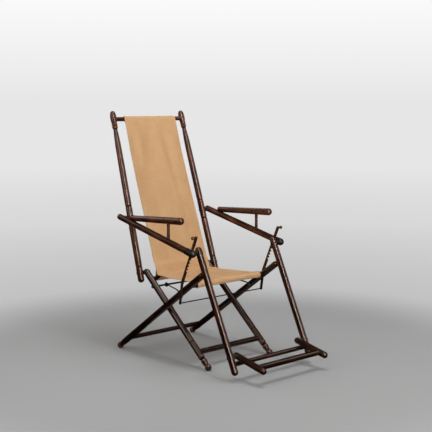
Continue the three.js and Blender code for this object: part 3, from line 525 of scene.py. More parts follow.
def mark_rod(mesh, rubbing_and_light):
    """Writes each vertex's place on its own rod, from a different stretch of timber for each piece. It
    also writes how much paler the upper rods are painted, for rubbing and as painted light, and how much
    darker the low ones are painted, as painted shade. It fills the cut lines with wax."""
    global wood_count
    wood_count += 1
    rod_layer = mesh.verts.layers.float_vector.new("rod")
    handled_layer = mesh.verts.layers.float.new("rubbing_and_light")
    timber = Vector((0.037 * wood_count, 0.053 * (wood_count % 7), 1.31 * wood_count))
    for vertex in mesh.verts:
        vertex[rod_layer] = vertex.co + timber
        vertex[handled_layer] = rubbing_and_light
    crest_groove_layer = mesh.verts.layers.float["crest_wear_and_groove_shade"]
    for face in mesh.faces:
        face.material_index = int(max(vertex[crest_groove_layer] for vertex in face.verts) < WAXED_BELOW)


def flat_on_floor(mesh):
    """Cuts the foot along the floor and closes the cut."""
    every = mesh.verts[:] + mesh.edges[:] + mesh.faces[:]
    cut = bmesh.ops.bisect_plane(mesh, geom=every, plane_co=(0, 0, 0), plane_no=(0, 0, -1), clear_outer=True)
    edges = [e for e in cut["geom_cut"] if isinstance(e, bmesh.types.BMEdge)]
    bmesh.ops.edgeloop_fill(mesh, edges=edges)
    bmesh.ops.recalc_face_normals(mesh, faces=mesh.faces)


def turned_rod(name, outline, start, way, body, segments=40, rubbing_and_light=None, on_floor=False):
    mesh = spun(outline, segments)
    mark_rod(mesh, RUBBING_AND_LIGHT.get(body, LITTLE_RUBBING_AND_LIGHT) if rubbing_and_light is None else rubbing_and_light)
    mesh.transform(stand(start, way))
    if on_floor:
        flat_on_floor(mesh)
    return finished(mesh, name, body, wood, name)


print("lathe ready")

# %% [markdown]
# ## Where the rods lie
# Every rod lies in one of a few upright planes, and its line runs through two known points: the
# pivots of the joints, which the record gives, or the middle of a cross rail.

# %% Lines of the rods
pivots = {joint["name"]: Vector(joint["pos_m"]) for joint in frame["joints"]}


def middle_of(name):
    low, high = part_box(name)
    return (low + high) / 2


def at_side(x, point):
    return Vector((x, point.y, point.z))


cross, hinge, elbow = pivots["leg_fold"], pivots["back_recline"], pivots["arm_swing"]
knee, ankle = pivots["footrest_swing"], pivots["foot_bar_fold"]
top_rail_at = at_side(0, middle_of("back_top_rail"))
front_rail_at, rear_rail_at = middle_of("front_seat_rail"), middle_of("rear_seat_rail")
heel_at = middle_of("heel_rod")
HALVES = {"front_leg": 177, "rear_leg": 211, "arm": 250.5, "footrest": 212.5, "foot_bar": 176.5}
front_leg_way = hinge - cross
rear_leg_way = front_rail_at - cross
arm_way = knee - elbow
footrest_way = ankle - knee
foot_bar_way = at_side(0, heel_at) - at_side(0, ankle)
print("leg crossing at", [round(v, 4) for v in cross])

# %% [markdown]
# ## The crossed legs
# Each front leg is one rod from its foot up to the hinge of the back. Its foot is a ball with a
# neck, a ring, a hollow and a proud bead, which a turner cuts with a gouge and a skew chisel, and
# a scored line marks where the stretcher enters. The rear legs have only the ball and a long flare.
# The feet are cut flat where they meet the floor. One outline, spun, makes each of them.

# %% Legs
LEG = 13.4
BALL = 14.0


def ball_foot(centre, neck):
    """A ball from the axis up to its neck, a little taller above than below, as a gouge leaves it."""
    upper = [math.radians(a) for a in range(8, 57, 8)]
    above = [(BALL * math.cos(t) ** 0.9, centre + BALL * math.sin(t)) for t in upper]
    last = above[-1][1]
    return round_end(BALL, centre, -1, 12) + above + [(neck + 0.25, last + 1.4), (neck, last + 2.6)]


front_outline = [
    *ball_foot(-318, 10.3), (10.5, -301.5), (11.2, -298), (12.2, -294), (12.9, -290.5), (13.1, -288.4),
    (12.1, -287.7), *bead(12.1, 1.9, -287.2, 5.4), (12.0, -281.4), (11.7, -280.6),
    *cove(11.7, 0.9, -280.2, 9.4), (12.0, -270.2), (12.9, -269.2), (12.9, -267.2), (12.3, -266.6),
    *bead(12.4, 2.4, -266.2, 5.6), (12.4, -260.2), (LEG, -259), *straight(LEG, -257, LEG, -191),
    *scored(LEG, -188, 1.4, 6.0), *straight(LEG, -183, LEG, 196), *round_end(LEG, 200, 1, 10)]
rear_outline = [
    *ball_foot(-362, 10.6), (10.7, -345), (11.0, -341.5), (11.5, -337.5), (12.2, -332.5), (12.9, -327.5),
    (13.3, -322.5), *straight(LEG, -317, LEG, 286), *round_end(LEG, 291, 1, 10)]
for hand, side in SIDES:
    for pair, outline, way in (("front", front_outline, front_leg_way), ("rear", rear_outline, rear_leg_way)):
        start = at_side(side * HALVES[f"{pair}_leg"] * MM, cross)
        turned_rod(f"{pair}_leg_{hand}", outline, start, way, f"{pair}_legs", segments=48, on_floor=True)
print("legs: points in an outline", len(front_outline), len(rear_outline))

# %% [markdown]
# ## The cross rails
# Plain dowels tie each pair of rods together. Their ends are shouldered down a little before they
# enter the rods, where the saw and the sandpaper could not reach.

# %% Cross rails
SHOULDER = 1.2
TENON_LONG = 14
SHADED_DULL = -0.4
RAILS = {"front_stretcher": 11.8, "rear_seat_rail": 9.5, "rear_stretcher": 10.0, "front_seat_rail": 10.5,
         "back_top_rail": 9.5, "footrest_stop_rod": 9.3, "heel_rod": 12.0}


def cross_rail(name, radius, body):
    low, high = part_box(name)
    half = (high.x - low.x) / 2 / MM - 1
    inside = half - TENON_LONG + LEG * 0.25
    thin = radius - SHOULDER
    outline = [(0, -half), (thin, -half), (thin, -inside - 2), (radius, -inside),
               *straight(radius, -inside + 2, radius, inside - 2, 30), (radius, inside), (thin, inside + 2),
               (thin, half), (0, half)]
    # The stretchers are painted darker, as painted shade, and get a thinner coat.
    rubbing_and_light = SHADED_DULL if "stretcher" in name else None
    return turned_rod(name, outline, (low + high) / 2, (1, 0, 0), body, rubbing_and_light=rubbing_and_light)


for body, names in (("front_legs", ("front_stretcher", "rear_seat_rail")),
                    ("rear_legs", ("rear_stretcher", "front_seat_rail")), ("back", ("back_top_rail",)),
                    ("footrest", ("footrest_stop_rod",)), ("foot_bars", ("heel_rod",))):
    for name in names:
        cross_rail(name, RAILS[name], body)
print("rails done")

# %% [markdown]
# ## The back stiles
# The stiles lean in towards the top, where they end in a tall ball over a set of rings, a fine neck
# and a long taper. That neck is the most delicate turning on the chair, so it gets the most points.
# Three scored lines mark the places where the back is hinged and the arms are hung.

# %% Stiles
STILE = 13.8
STILE_FOOT, STILE_HEAD = 213.5, 195
stile_outline = [
    *round_end(STILE, -28.2, -1, 10), *straight(STILE, -24, STILE, 22), *scored(STILE, 26, 1.4, 6.4),
    *straight(STILE, 31, STILE, 201), *scored(STILE, 206, 1.4, 6.4), *straight(STILE, 211, STILE, 285),
    *scored(STILE, 290, 1.4, 6.4), *straight(STILE, 295, 13.4, 460), *straight(13.25, 475, 12.4, 560),
    *straight(12.1, 570, 10.6, 603, 8), (10.1, 610), (9.6, 616), (9.2, 622), (8.9, 627), (8.8, 631),
    (9.0, 633.4), (9.6, 634.6), *bead(9.8, 2.3, 635.2, 4.2), (9.9, 640.0), *bead(10.4, 2.9, 640.6, 5.0),
    (10.4, 646.0), *cove(10.8, 0.7, 646.4, 3.2), (11.4, 650.0), *bead(11.3, 2.1, 650.4, 5.2), (11.2, 656.0),
    (11.0, 657.4), (11.3, 659.2), (12.0, 662.2), (12.8, 666.0), (13.4, 670.5), (13.75, 676), (STILE, 681),
    (13.7, 686), (13.3, 692), (12.6, 698), (11.4, 704), (9.6, 708.6), (7.2, 711.8), (4.4, 713.4),
    (1.8, 713.95), (0, 714)]
for hand, side in SIDES:
    foot = at_side(side * STILE_FOOT * MM, hinge)
    head = at_side(side * STILE_HEAD * MM, top_rail_at)
    turned_rod(f"back_stile_{hand}", stile_outline, foot, head - foot, "back", segments=48)
print("stiles: points in the outline", len(stile_outline))

# %% [markdown]
# ## Arms and armrests
# The arm bar is a plain rod that swells into a ball at its front end, where a blackened iron ferrule
# is driven on to keep the wood from splitting at the knee bolt. A second, tapered rod lies level
# above it for the forearm. It is planed to the bar behind, and a short upright post carries it in
# front.

# %% Arms
ARM = 13.3
REST_RISE = math.radians(15.6)
REST_AT, REST_LIFT, POST_AT = 64, 20, 313
arm_outline = [
    *round_end(ARM, -14, -1, 10), *straight(ARM, -9, ARM, 414), *straight(13.5, 424, 14.7, 452, 8),
    *round_end(15, 462, 1, 12)]
ferrule_outline = [
    (0, 478.0), (5.2, 477.4), (8.6, 475.2), (11.8, 471.8), (13.9, 468.0), (15.2, 463.8), (15.6, 460),
    (15.4, 456), (15.0, 450), (14.5, 443), (14.1, 436), (13.95, 428), (13.9, 424), (13.6, 423.5), (0, 423.5)]
rest_outline = [
    (0, 0), (11.4, 0), (12.2, 0.5), (12.5, 1.4), *straight(12.55, 3, 14.2, 218), *scored(14.2, 222, 0.8, 2.0),
    (14.25, 225), *scored(14.3, 228, 0.8, 2.0), *straight(14.35, 231, 14.7, 264),
    *scored(14.7, 268, 0.8, 2.0), *straight(14.75, 271, 15.2, 306), *round_end(15.2, 312, 1, 12)]
post_outline = [
    (0, 4), (6.7, 4), *straight(6.6, 14, 6.1, 38), *straight(6.1, 46, 6.6, 76), (6.7, 86), (0, 86)]
arm_dir = arm_way.normalized()
arm_up = Vector((0, -arm_dir.z, arm_dir.y)) * -1
rest_dir = arm_dir * math.cos(REST_RISE) + arm_up * math.sin(REST_RISE)
for hand, side in SIDES:
    start = at_side(side * HALVES["arm"] * MM, elbow)
    turned_rod(f"arm_bar_{hand}", arm_outline, start, arm_dir, "arms", segments=48)
    tip = spun(ferrule_outline[::-1], 40)
    tip.transform(stand(start, arm_dir))
    finished(tip, f"arm_ferrule_{hand}", "arms", iron)
    rest_start = start + arm_dir * REST_AT * MM + arm_up * REST_LIFT * MM
    turned_rod(f"armrest_{hand}", rest_outline, rest_start, rest_dir, "arms", segments=48)
    post_start = start + arm_dir * POST_AT * MM
    turned_rod(f"armrest_post_{hand}", post_outline, post_start, (0, 0, 1), "arms", segments=32)
print("armrest rises", [round(v, 3) for v in rest_dir])

# %% [markdown]
# ## Footrest and foot bars
# Two long hanging rods and, at their feet, a small frame that folds up. All have plain round ends.

# %% Footrest
FOOTREST, FOOT_BAR = 13.5, 13.2
footrest_outline = [*round_end(FOOTREST, -12, -1, 10), *straight(FOOTREST, -8, FOOTREST, 482),
                    *round_end(FOOTREST, 487, 1, 10)]
foot_bar_outline = [*round_end(FOOT_BAR, -5.5, -1, 10), *straight(FOOT_BAR, -2, FOOT_BAR, 142),
                    *round_end(FOOT_BAR, 146, 1, 10)]
for hand, side in SIDES:
    start = at_side(side * HALVES["footrest"] * MM, knee)
    turned_rod(f"footrest_stile_{hand}", footrest_outline, start, footrest_way, "footrest")
    start = at_side(side * HALVES["foot_bar"] * MM, ankle)
    turned_rod(f"foot_bar_{hand}", foot_bar_outline, start, foot_bar_way, "foot_bars")
print("wooden pieces:", wood_count)

# %% [markdown]
# ## Bolts, collars and screws
# A smith's bolt has a domed head with a rim, upset under the hammer, and a low nut inside. Between
# two rods sits a waisted collar. All of them lie along X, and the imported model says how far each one
# reaches from the middle of the chair, so their outlines are written from their two ends.

# %% Small ironwork
HEAD = 6.8
GRIP_BALL = 6.9
PIN_PLAY = 0.3


def reach_of(name):
    """The distances of the inner and outer end of a small piece from the middle of the chair, in mm."""
    low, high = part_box(name)
    return sorted((abs(low.x) / MM, abs(high.x) / MM))


def dome(radius, height, start, steps=7):
    turns = [i / steps * math.pi / 2 for i in range(steps + 1)]
    return [(radius * math.cos(t), start + height * math.sin(t)) for t in turns]


def across(name, body, outline, ring=False, segments=28, finish=iron):
    """A small iron piece, spun about a line along X through the middle of its node."""
    low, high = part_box(name)
    way = (-1 if name.endswith("left") else 1, 0, 0)
    mesh = spun([*outline, outline[0]] if ring else outline, segments)
    mesh.transform(stand(at_side(0, (low + high) / 2), way))
    return finished(mesh, name, body, finish, name)


def bolt(start, end):
    return [(0, start), (4.2, start), (4.6, start + 0.4), (5.9, start + 1.2), (6.2, start + 1.8),
            (6.2, start + 2.8), (4, start + 2.85), (4, end - 2.85), (HEAD, end - 2.8), (HEAD, end - 2.1),
            (HEAD - 0.5, end - 1.8), (HEAD - 1.1, end - 1.75), *dome(HEAD - 1.1, 1.75, end - 1.75)]


def collar(start, end, bore=4.05, rim=9.5):
    lip = min(0.8, (end - start) / 6)
    inner_half = [(bore, start), (rim - 0.4, start), (rim, start + lip * 0.5), (rim, start + lip),
                  (rim - 1.3, start + lip * 2)]
    outer_half = [(rim - 1.3, end - lip * 2), (rim, end - lip), (rim, end - lip * 0.5), (rim - 0.4, end),
                  (bore, end)]
    return [*inner_half, (rim - 1.9, (start + end) / 2), *outer_half]


def foot_bar_pin(start, end):
    inner, outer = HALVES["foot_bar"] + FOOT_BAR + PIN_PLAY, HALVES["footrest"] - FOOTREST - PIN_PLAY
    return [*dome(HEAD, -2.1, start + 2.1)[::-1], (HEAD, start + 2.8), (4, start + 2.85), (4, inner),
            (9.2, inner), (9.5, inner + 0.5), (8.6, inner + 2.4), (8.4, (inner + outer) / 2),
            (8.6, outer - 2.4), (9.5, outer - 0.5), (9.2, outer), (4, outer), (4, end - 2.85),
            (HEAD, end - 2.8), *dome(HEAD, 2.1, end - 2.1)]


def strut_screw(start, end):
    return [*dome(HEAD, -1.8, start + 1.8)[::-1], (HEAD, start + 2.6), (3.4, start + 2.65), (3.4, end),
            (0, end)]


def strut_stud(start, end):
    return [(0, start), (3.4, start), (3.4, 224.7), (6.2, 224.7), (6.8, 225.2), (6.8, 229.6), (6.2, 230.2),
            (3.4, 230.25), (3.4, end - 2.05), (6.1, end - 2.0), (6.1, end - 1.2),
            *dome(5.6, 1.2, end - 1.2)]


def stay_peg(start, end):
    return [*dome(5.4, -0.8, start + 0.8)[::-1], (5.4, start + 1.5), (3.6, start + 1.9), (3.6, end),
            (0, end)]


def strut_grip(start, end):
    ball = end - GRIP_BALL
    turns = [math.radians(a) for a in range(-62, 91, 8)]
    return [(0, start), (3.4, start), (4.6, start + 0.6), (4.6, start + 2.6), (3.5, start + 2.9),
            (3.4, ball - 10), (4.2, ball - 9.6), (4.5, ball - 8.8), (4.1, ball - 7.9), (3.5, ball - 7),
            *[(GRIP_BALL * math.cos(t), ball + GRIP_BALL * math.sin(t)) for t in turns], (0, end)]


BOLTED = (("crossing", "front_legs"), ("back_hinge", "front_legs"), ("arm", "back"), ("knee", "arms"))
PINS = (("foot_bar_pin", foot_bar_pin, "footrest", 28, iron), ("strut_screw", strut_screw, "arms", 24, iron),
        ("strut_stud", strut_stud, "rear_legs", 24, iron), ("stay_peg", stay_peg, "rear_legs", 24, iron),
        ("strut_grip", strut_grip, "struts", 28, browned))
for hand, side in SIDES:
    for joint, body in BOLTED:
        name = f"{joint}_bolt_{hand}"
        across(name, body, bolt(*reach_of(name)))
        name = f"{joint}_collar_{hand}"
        across(name, body, collar(*reach_of(name)), ring=True)
    for title, outline, body, segments, finish in PINS:
        name = f"{title}_{hand}"
        across(name, body, outline(*reach_of(name)), segments=segments, finish=finish)

start, end = (corner.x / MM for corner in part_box("strut_tie_rod"))
across("strut_tie_rod", "struts", [
    *dome(3.8, -1.2, start + 1.2)[::-1], (3.8, start + 1.9), (2.4, start + 2.0), (2.4, end - 2.0),
    (3.8, end - 1.9), *dome(3.8, 1.2, end - 1.2)], segments=20)
start, end = (corner.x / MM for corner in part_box("stay_rod"))
across("stay_rod", "front_legs", [
    (0, start), (3.2, start), (4, start + 0.8), (4, end - 0.8), (3.2, end), (0, end)], segments=24)
print("bolt reach", [round(v, 1) for v in reach_of("knee_bolt_right")])

# %% [markdown]
# ## Struts, stays and nuts
# The struts are flat bars with notches filed in their front edge, and the stays are bent round bar.
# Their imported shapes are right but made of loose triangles. A copy with its corners merged takes a
# small bevel along the filed edges, so that they catch the light as worn iron does.

# %% Bars
HARD_ANGLE = math.radians(30)


def eased(name, body, width, finish=iron):
    """A copy of a node with flat faces made whole and its hard edges rounded by width."""
    mesh = bmesh.new()
    mesh.from_mesh(bpy.data.objects[name].data)
    bmesh.ops.remove_doubles(mesh, verts=mesh.verts, dist=1e-6)
    bmesh.ops.dissolve_limit(mesh, angle_limit=math.radians(1.0), verts=mesh.verts, edges=mesh.edges)
    if width:
        hard = [e for e in mesh.edges if len(e.link_faces) == 2 and e.calc_face_angle(0) > HARD_ANGLE]
        bmesh.ops.bevel(mesh, geom=hard, offset=width * MM, segments=2, profile=0.5, affect="EDGES",
                        clamp_overlap=True, material=-1)
    bmesh.ops.recalc_face_normals(mesh, faces=mesh.faces)
    return finished(mesh, f"{name}_bar", body, finish, name)


for hand, side in SIDES:
    eased(f"strut_{hand}", "struts", 0.5, finish=browned)
    eased(f"stay_{hand}", "stays", 0)
    eased(f"stay_rod_nut_{hand}", "front_legs", 0.6)
print("bars done")

# %% [markdown]
# ## The canvas sling
# One length of canvas hangs from the top rail, lies on the seat and ends round the front rail. Both
# its ends are turned back round their rails and sewn down, which makes two sleeves, and a narrow
# strip of the same cloth is sewn on below its bend and holds it to the rear rail. The sling is a
# flat grid laid along a route in the side view. The cloth simulation then lets it hang, so that its
# slack and its small folds come from its own weight. Every point of the grid keeps its flat place.

# %% Route of the sling
SLEEVE_GAP = 1.35
HEM, HEM_UNDER = 36, 1.7
WRAP_TURN = 212
BEND_RADIUS = 15
OFF_REAR_RAIL = 13


def side_view(point):
    return np.array((point.y, point.z)) / MM


def unit(way):
    return way / np.hypot(*way)


def heading(degrees):
    return np.array((math.cos(math.radians(degrees)), math.sin(math.radians(degrees))))


def angle_of(way):
    return math.degrees(math.atan2(way[1], way[0]))


def line(start, end, step):
    count = max(1, round(np.hypot(*(end - start)) / step))
    return [start + (end - start) * i / count for i in range(count + 1)]


def arc(centre, radius, start, turn, step):
    count = max(2, round(abs(math.radians(turn)) * radius / step))
    return [centre + radius * heading(start + turn * i / count) for i in range(count + 1)]


top_at, rear_at, front_at = side_view(top_rail_at), side_view(rear_rail_at), side_view(front_rail_at)
TOP_WRAP, FRONT_WRAP = RAILS["back_top_rail"] + SLEEVE_GAP, RAILS["front_seat_rail"] + SLEEVE_GAP
back_way = unit(rear_at - top_at)
sitter = np.array((back_way[1], -back_way[0]))
seat_way = unit(front_at - rear_at)
seat_up = np.array((seat_way[1], -seat_way[0]))
top_front = top_at + TOP_WRAP * sitter
back_low = rear_at + OFF_REAR_RAIL * sitter
seat_low = rear_at + OFF_REAR_RAIL * seat_up
front_top = front_at + FRONT_WRAP * seat_up
down_back, along_seat = unit(back_low - top_front), unit(front_top - seat_low)
share = np.linalg.solve(np.array((down_back, -along_seat)).T, seat_low - top_front)[0]
bend = top_front + share * down_back
bend_turn = angle_of(along_seat) - angle_of(down_back)
bend_turn = (bend_turn + 180) % 360 - 180
bend_reach = BEND_RADIUS * math.tan(math.radians(abs(bend_turn) / 2))
low_end = bend - bend_reach * down_back
bend_centre = low_end + BEND_RADIUS * np.array((down_back[1], -down_back[0]))
top_hem = top_front + HEM * down_back - HEM_UNDER * sitter
front_hem = front_top - HEM * along_seat - HEM_UNDER * seat_up
sections = [
    ("top hem", line(top_hem, top_at + TOP_WRAP * heading(angle_of(sitter) - WRAP_TURN), 4)),
    ("top sleeve", arc(top_at, TOP_WRAP, angle_of(sitter) - WRAP_TURN, WRAP_TURN, 2.2)),
    ("back", line(top_front, low_end, 4.6)),
    ("bend", arc(bend_centre, BEND_RADIUS, angle_of(low_end - bend_centre), bend_turn, 2.4)),
    ("seat", line(bend + bend_reach * along_seat, front_top, 4.6)),
    ("front sleeve", arc(front_at, FRONT_WRAP, angle_of(seat_up), WRAP_TURN, 2.2)),
    ("front hem", line(front_at + FRONT_WRAP * heading(angle_of(seat_up) + WRAP_TURN), front_hem, 4))]
route, row_of = [], {}
for title, points in sections:
    row_of[title] = len(route) - (1 if route else 0)
    route += points if not route else points[1:]
route = np.array(route)
steps = np.hypot(*np.diff(route, axis=0).T)
length_at = np.concatenate([[0], np.cumsum(steps)])
row_of["end"] = len(route) - 1
print("sling:", len(route), "rows,", round(length_at[-1]), "mm long, bend turns", round(bend_turn))

# %% Flat grid
HEM_COLUMNS = [0, 2.5, 6, 9.5, 12, 14]
INNER_COLUMNS = 50
HALF_WIDTHS = {"top hem": 128, "top sleeve": 131, "back": 144, "bend": 151, "front sleeve": 178}
half_places = [length_at[row_of[title]] for title in HALF_WIDTHS]


def half_width(length):
    return np.interp(length, half_places, list(HALF_WIDTHS.values()))


inner = np.linspace(-1, 1, INNER_COLUMNS + 1)[1:-1]


def row_across(half):
    edge = half - np.array(HEM_COLUMNS)
    return np.concatenate([-edge, inner * (half - HEM_COLUMNS[-1]), edge[::-1]])


def over_rows(values):
    """One value for each row, repeated over its columns."""
    return np.repeat(values[:, None], column_count, axis=1)


across_at = np.array([row_across(half_width(length)) for length in length_at])
row_count, column_count = across_at.shape
flat = np.dstack([across_at, over_rows(length_at)]) * MM

tangents = np.gradient(route, axis=0)
tangents /= np.hypot(*tangents.T)[:, None]
upper_side = np.column_stack([tangents[:, 1], -tangents[:, 0]])
cloth_places = np.dstack([across_at, over_rows(route[:, 0]), over_rows(route[:, 1])]) * MM
print("grid", row_count, "x", column_count)

# %% [markdown]
# ### Letting it hang
# The rows on the rails are held, and all the others are free. The cloth starts with shallow ripples
# below its sleeves, where the sewing gathers it, and with the long soft waves of cloth that was
# folded away for years. Gravity and the cloth's own stiffness settle them.

# %% Ripples
# The straight creases of the back: how far each stands out, where it starts and ends below the top
# in mm, its place and its width in half widths of 150 mm, and in how many mm it drifts by one.
CREASES = ((-5.0, 40, 420, 0.30, 2600, 0.12), (4.0, 90, 560, 0.55, 2200, 0.13),
           (-3.4, 10, 260, -0.42, -3000, 0.10), (3.0, 430, 640, -0.22, math.inf, 0.08))
USUAL_HALF = 150
HELD_ROUND_RAIL = 44


def swell(length, start, end):
    """Rises from 0 at start to 1 and falls to 0 at end, smoothly."""
    share = np.clip((length - start) / (end - start), 0, 1)
    return np.sin(share * math.pi) ** 2


top_at_length, bend_at_length = length_at[row_of["back"]], length_at[row_of["bend"]]
seat_start, seat_end = length_at[row_of["seat"]], length_at[row_of["front sleeve"]]
x = across_at / USUAL_HALF
lengths = over_rows(length_at)
down_from_top = lengths - top_at_length
ripple = 1.8 * swell(down_from_top, 0, 240) * np.cos(9.5 * x + 0.8 * np.sin(2.1 * x + 0.6))
ripple += 3.2 * swell(down_from_top, 20, 600) * np.cos(3.4 * x - 0.9 + down_from_top / 460)
ripple += 1.8 * swell(down_from_top, 260, 600) * np.cos(7.2 * x + 1.9 - down_from_top / 240)
for high, start, end, centre, drift, wide in CREASES:
    crease = np.exp(-((x - centre - down_from_top / drift) / wide) ** 2)
    ripple += high * swell(down_from_top, start, end) * crease
ripple += 1.1 * swell(lengths, seat_start, seat_end) * np.cos(6.0 * x + 0.4)
for side in (-1, 1):
    corner = np.hypot((x - side) * USUAL_HALF, lengths - seat_end)
    turn = np.arctan2(lengths - seat_end, (x - side) * USUAL_HALF * side)
    fan = 1.5 * np.exp(-((corner - 46) / 30) ** 2) * np.cos(turn * 11 + side)
    ripple += fan * swell(lengths, seat_start, seat_end + 1) ** 0.5
near_rear_rail = np.abs(length_at - (bend_at_length + seat_start) / 2) < HELD_ROUND_RAIL
row_held = (length_at < top_at_length + 1) | near_rear_rail | (length_at > seat_end - 1)
ripple *= ~row_held[:, None]
across_normal = np.dstack([np.zeros_like(ripple), over_rows(upper_side[:, 0]), over_rows(upper_side[:, 1])])
cloth_places = cloth_places + across_normal * ripple[:, :, None] * MM
print("ripples up to", round(float(np.abs(ripple).max()), 1), "mm, rows held:", int(row_held.sum()))

# %% Simulation
CLOTH = {"quality": 7, "mass": 0.25, "tension_stiffness": 40, "compression_stiffness": 40,
         "shear_stiffness": 20, "bending_stiffness": 1.5, "tension_damping": 12, "compression_damping": 12,
         "shear_damping": 12, "bending_damping": 2, "vertex_group_mass": "held", "shrink_min": -0.0015}
GRAVITY_SHARE = 0.25
FRAMES = 25
MOST_MOVE_MM = 5
# The ripple depth at which the painted shade in a fold's hollow is full.
FOLD_SHADE_FULL_MM = 7


def sling_mesh(places):
    """The grid, with its flat place as its UV map, and the vertex number of each of its places."""
    mesh = bmesh.new()
    uv = mesh.loops.layers.uv.new("cloth")
    hem = mesh.verts.layers.float.new("hem")
    fold_shade = mesh.verts.layers.float.new("fold_shade")
    bmesh.ops.create_grid(mesh, x_segments=column_count - 1, y_segments=row_count - 1, size=1)
    mesh.verts.index_update()
    in_order = sorted(mesh.verts, key=lambda v: (round(v.co.y, 6), round(v.co.x, 6)))
    place_in_grid = {}
    for number, vertex in enumerate(in_order):
        row, column = divmod(number, column_count)
        vertex.co = places[row, column]
        vertex[hem] = 1.0 if min(column, column_count - 1 - column) <= 4 else 0.5
        # How deep the point lies in a hollow of the ripples, for the painted fold shade.
        vertex[fold_shade] = min(1.0, max(0.0, -ripple[row, column] / FOLD_SHADE_FULL_MM))
        place_in_grid[vertex] = (row, column)
    for face in mesh.faces:
        for loop in face.loops:
            loop[uv].uv = flat[place_in_grid[loop.vert]]
    return mesh, [vertex.index for vertex in in_order]


def hang(places):
    """Runs the cloth simulation and returns the grid as it hangs."""
    mesh, numbers = sling_mesh(places)
    sling = placed(mesh, "sling")
    data = sling.data
    held = sling.vertex_groups.new(name="held")
    columns = range(column_count)
    fast = [numbers[row * column_count + column] for row in np.flatnonzero(row_held) for column in columns]
    held.add(fast, 1.0, "REPLACE")
    settings = sling.modifiers.new("cloth", "CLOTH").settings
    for name, value in CLOTH.items():
        setattr(settings, name, value)
    settings.effector_weights.gravity = GRAVITY_SHARE
    for number in range(1, FRAMES + 1):
        scene.frame_set(number)
    hung = sling.evaluated_get(bpy.context.evaluated_depsgraph_get())
    co = np.empty(len(hung.data.vertices) * 3)
    hung.data.vertices.foreach_get("co", co)
    co = co.reshape(-1, 3)[numbers].reshape(row_count, column_count, 3)
    scene.frame_set(1)
    bpy.data.objects.remove(sling)
    bpy.data.meshes.remove(data)
    return co


hung_places = hang(cloth_places)
moved = hung_places - cloth_places
far = np.linalg.norm(moved, axis=2)
moved *= np.minimum(1, MOST_MOVE_MM * MM / np.maximum(far, 1e-9))[:, :, None]
print("hung: moved up to", round(far.max() / MM, 1), "mm, half of it over", round(np.median(far) / MM, 2))
cloth_places = cloth_places + moved

# %% [markdown]
# ### Cutting and sewing
# The cloth gets its thickness with its rear face kept back from the sitter, double at the side hems.
# It is parted where the seat meets the back, a little in front of the bend, so that each part can
# bend with the joint that moves it: the back between the front legs and the back frame, the seat
# between the two pairs of legs. At that line both parts ride on the front legs and still meet.

# %% Thickness and parting
CANVAS_MM, SINGLE_SHARE = 2.2, 0.55
PART_ROWS = 3
BACK_BENDS, SEAT_BENDS = (-34, -150), (26, 110)
CLOTH_SHARP_ANGLE = math.radians(50)
sling = placed(sling_mesh(cloth_places)[0], "sling_thick")
hem_group = sling.vertex_groups.new(name="hem")
hem_values = np.empty(len(sling.data.vertices))
sling.data.attributes["hem"].data.foreach_get("value", hem_values)
for number, value in enumerate(hem_values):
    hem_group.add([number], float(value > 0.75), "REPLACE")
thick = sling.modifiers.new("thickness", "SOLIDIFY")
thick.thickness = CANVAS_MM * MM
thick.offset = -1 if sling.data.polygons[0].normal.y < 0 else 1
thick.vertex_group = "hem"
thick.thickness_vertex_group = SINGLE_SHARE
part_row = row_of["seat"] + PART_ROWS
part_flat = length_at[part_row] * MM
whole = bpy.data.meshes.new_from_object(sling.evaluated_get(bpy.context.evaluated_depsgraph_get()))
bpy.data.objects.remove(sling)


def canvas_part(name, keep_upper, bodies, bends, node_name):
    """One side of the parting line, closed there, blended between two bodies."""
    body_low, body_high = bodies
    start, end = bends
    part = bmesh.new()
    part.from_mesh(whole)
    uv = part.loops.layers.uv["cloth"]
    lies = {f: sum(loop[uv].uv.y for loop in f.loops) / len(f.loops) for f in part.faces}
    gone = [f for f, length in lies.items() if (length < part_flat) != keep_upper]
    bmesh.ops.delete(part, geom=gone, context="FACES")
    bmesh.ops.holes_fill(part, edges=[e for e in part.edges if e.is_boundary], sides=0)
    piece = placed(part, name, canvas)
    piece.data.shade_smooth()
    piece.data.set_sharp_from_angle(angle=CLOTH_SHARP_ANGLE)
    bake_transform(piece, body_low, body_high, start=start, end=end)
    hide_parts(node_name)
    return piece


def along(way, reaches):
    """Points of the side view at their reaches from the bend, in the scene."""
    return [Vector((0, *((bend + reach * way) * MM))) for reach in reaches]


BACK_BODIES, SEAT_BODIES = ("front_legs", "back"), ("front_legs", "rear_legs")
back_bends, seat_bends = along(down_back, BACK_BENDS), along(along_seat, SEAT_BENDS)
back_canvas = canvas_part("sling_back", True, BACK_BODIES, back_bends, "canvas_back")
seat_canvas = canvas_part("sling_seat", False, SEAT_BODIES, seat_bends, "canvas_seat")
print("sling parts:", len(back_canvas.data.polygons), len(seat_canvas.data.polygons), "faces")

# %% [markdown]
# ### The casing
# A narrow strip of canvas, sewn to the sling on both sides of the bend, runs round the rear rail
# and keeps the bend in its place. The photograph hides it, so its shape is a guess. It doesn't move
# with a joint, so a grid laid round the rail and made thick is enough, with no simulation.

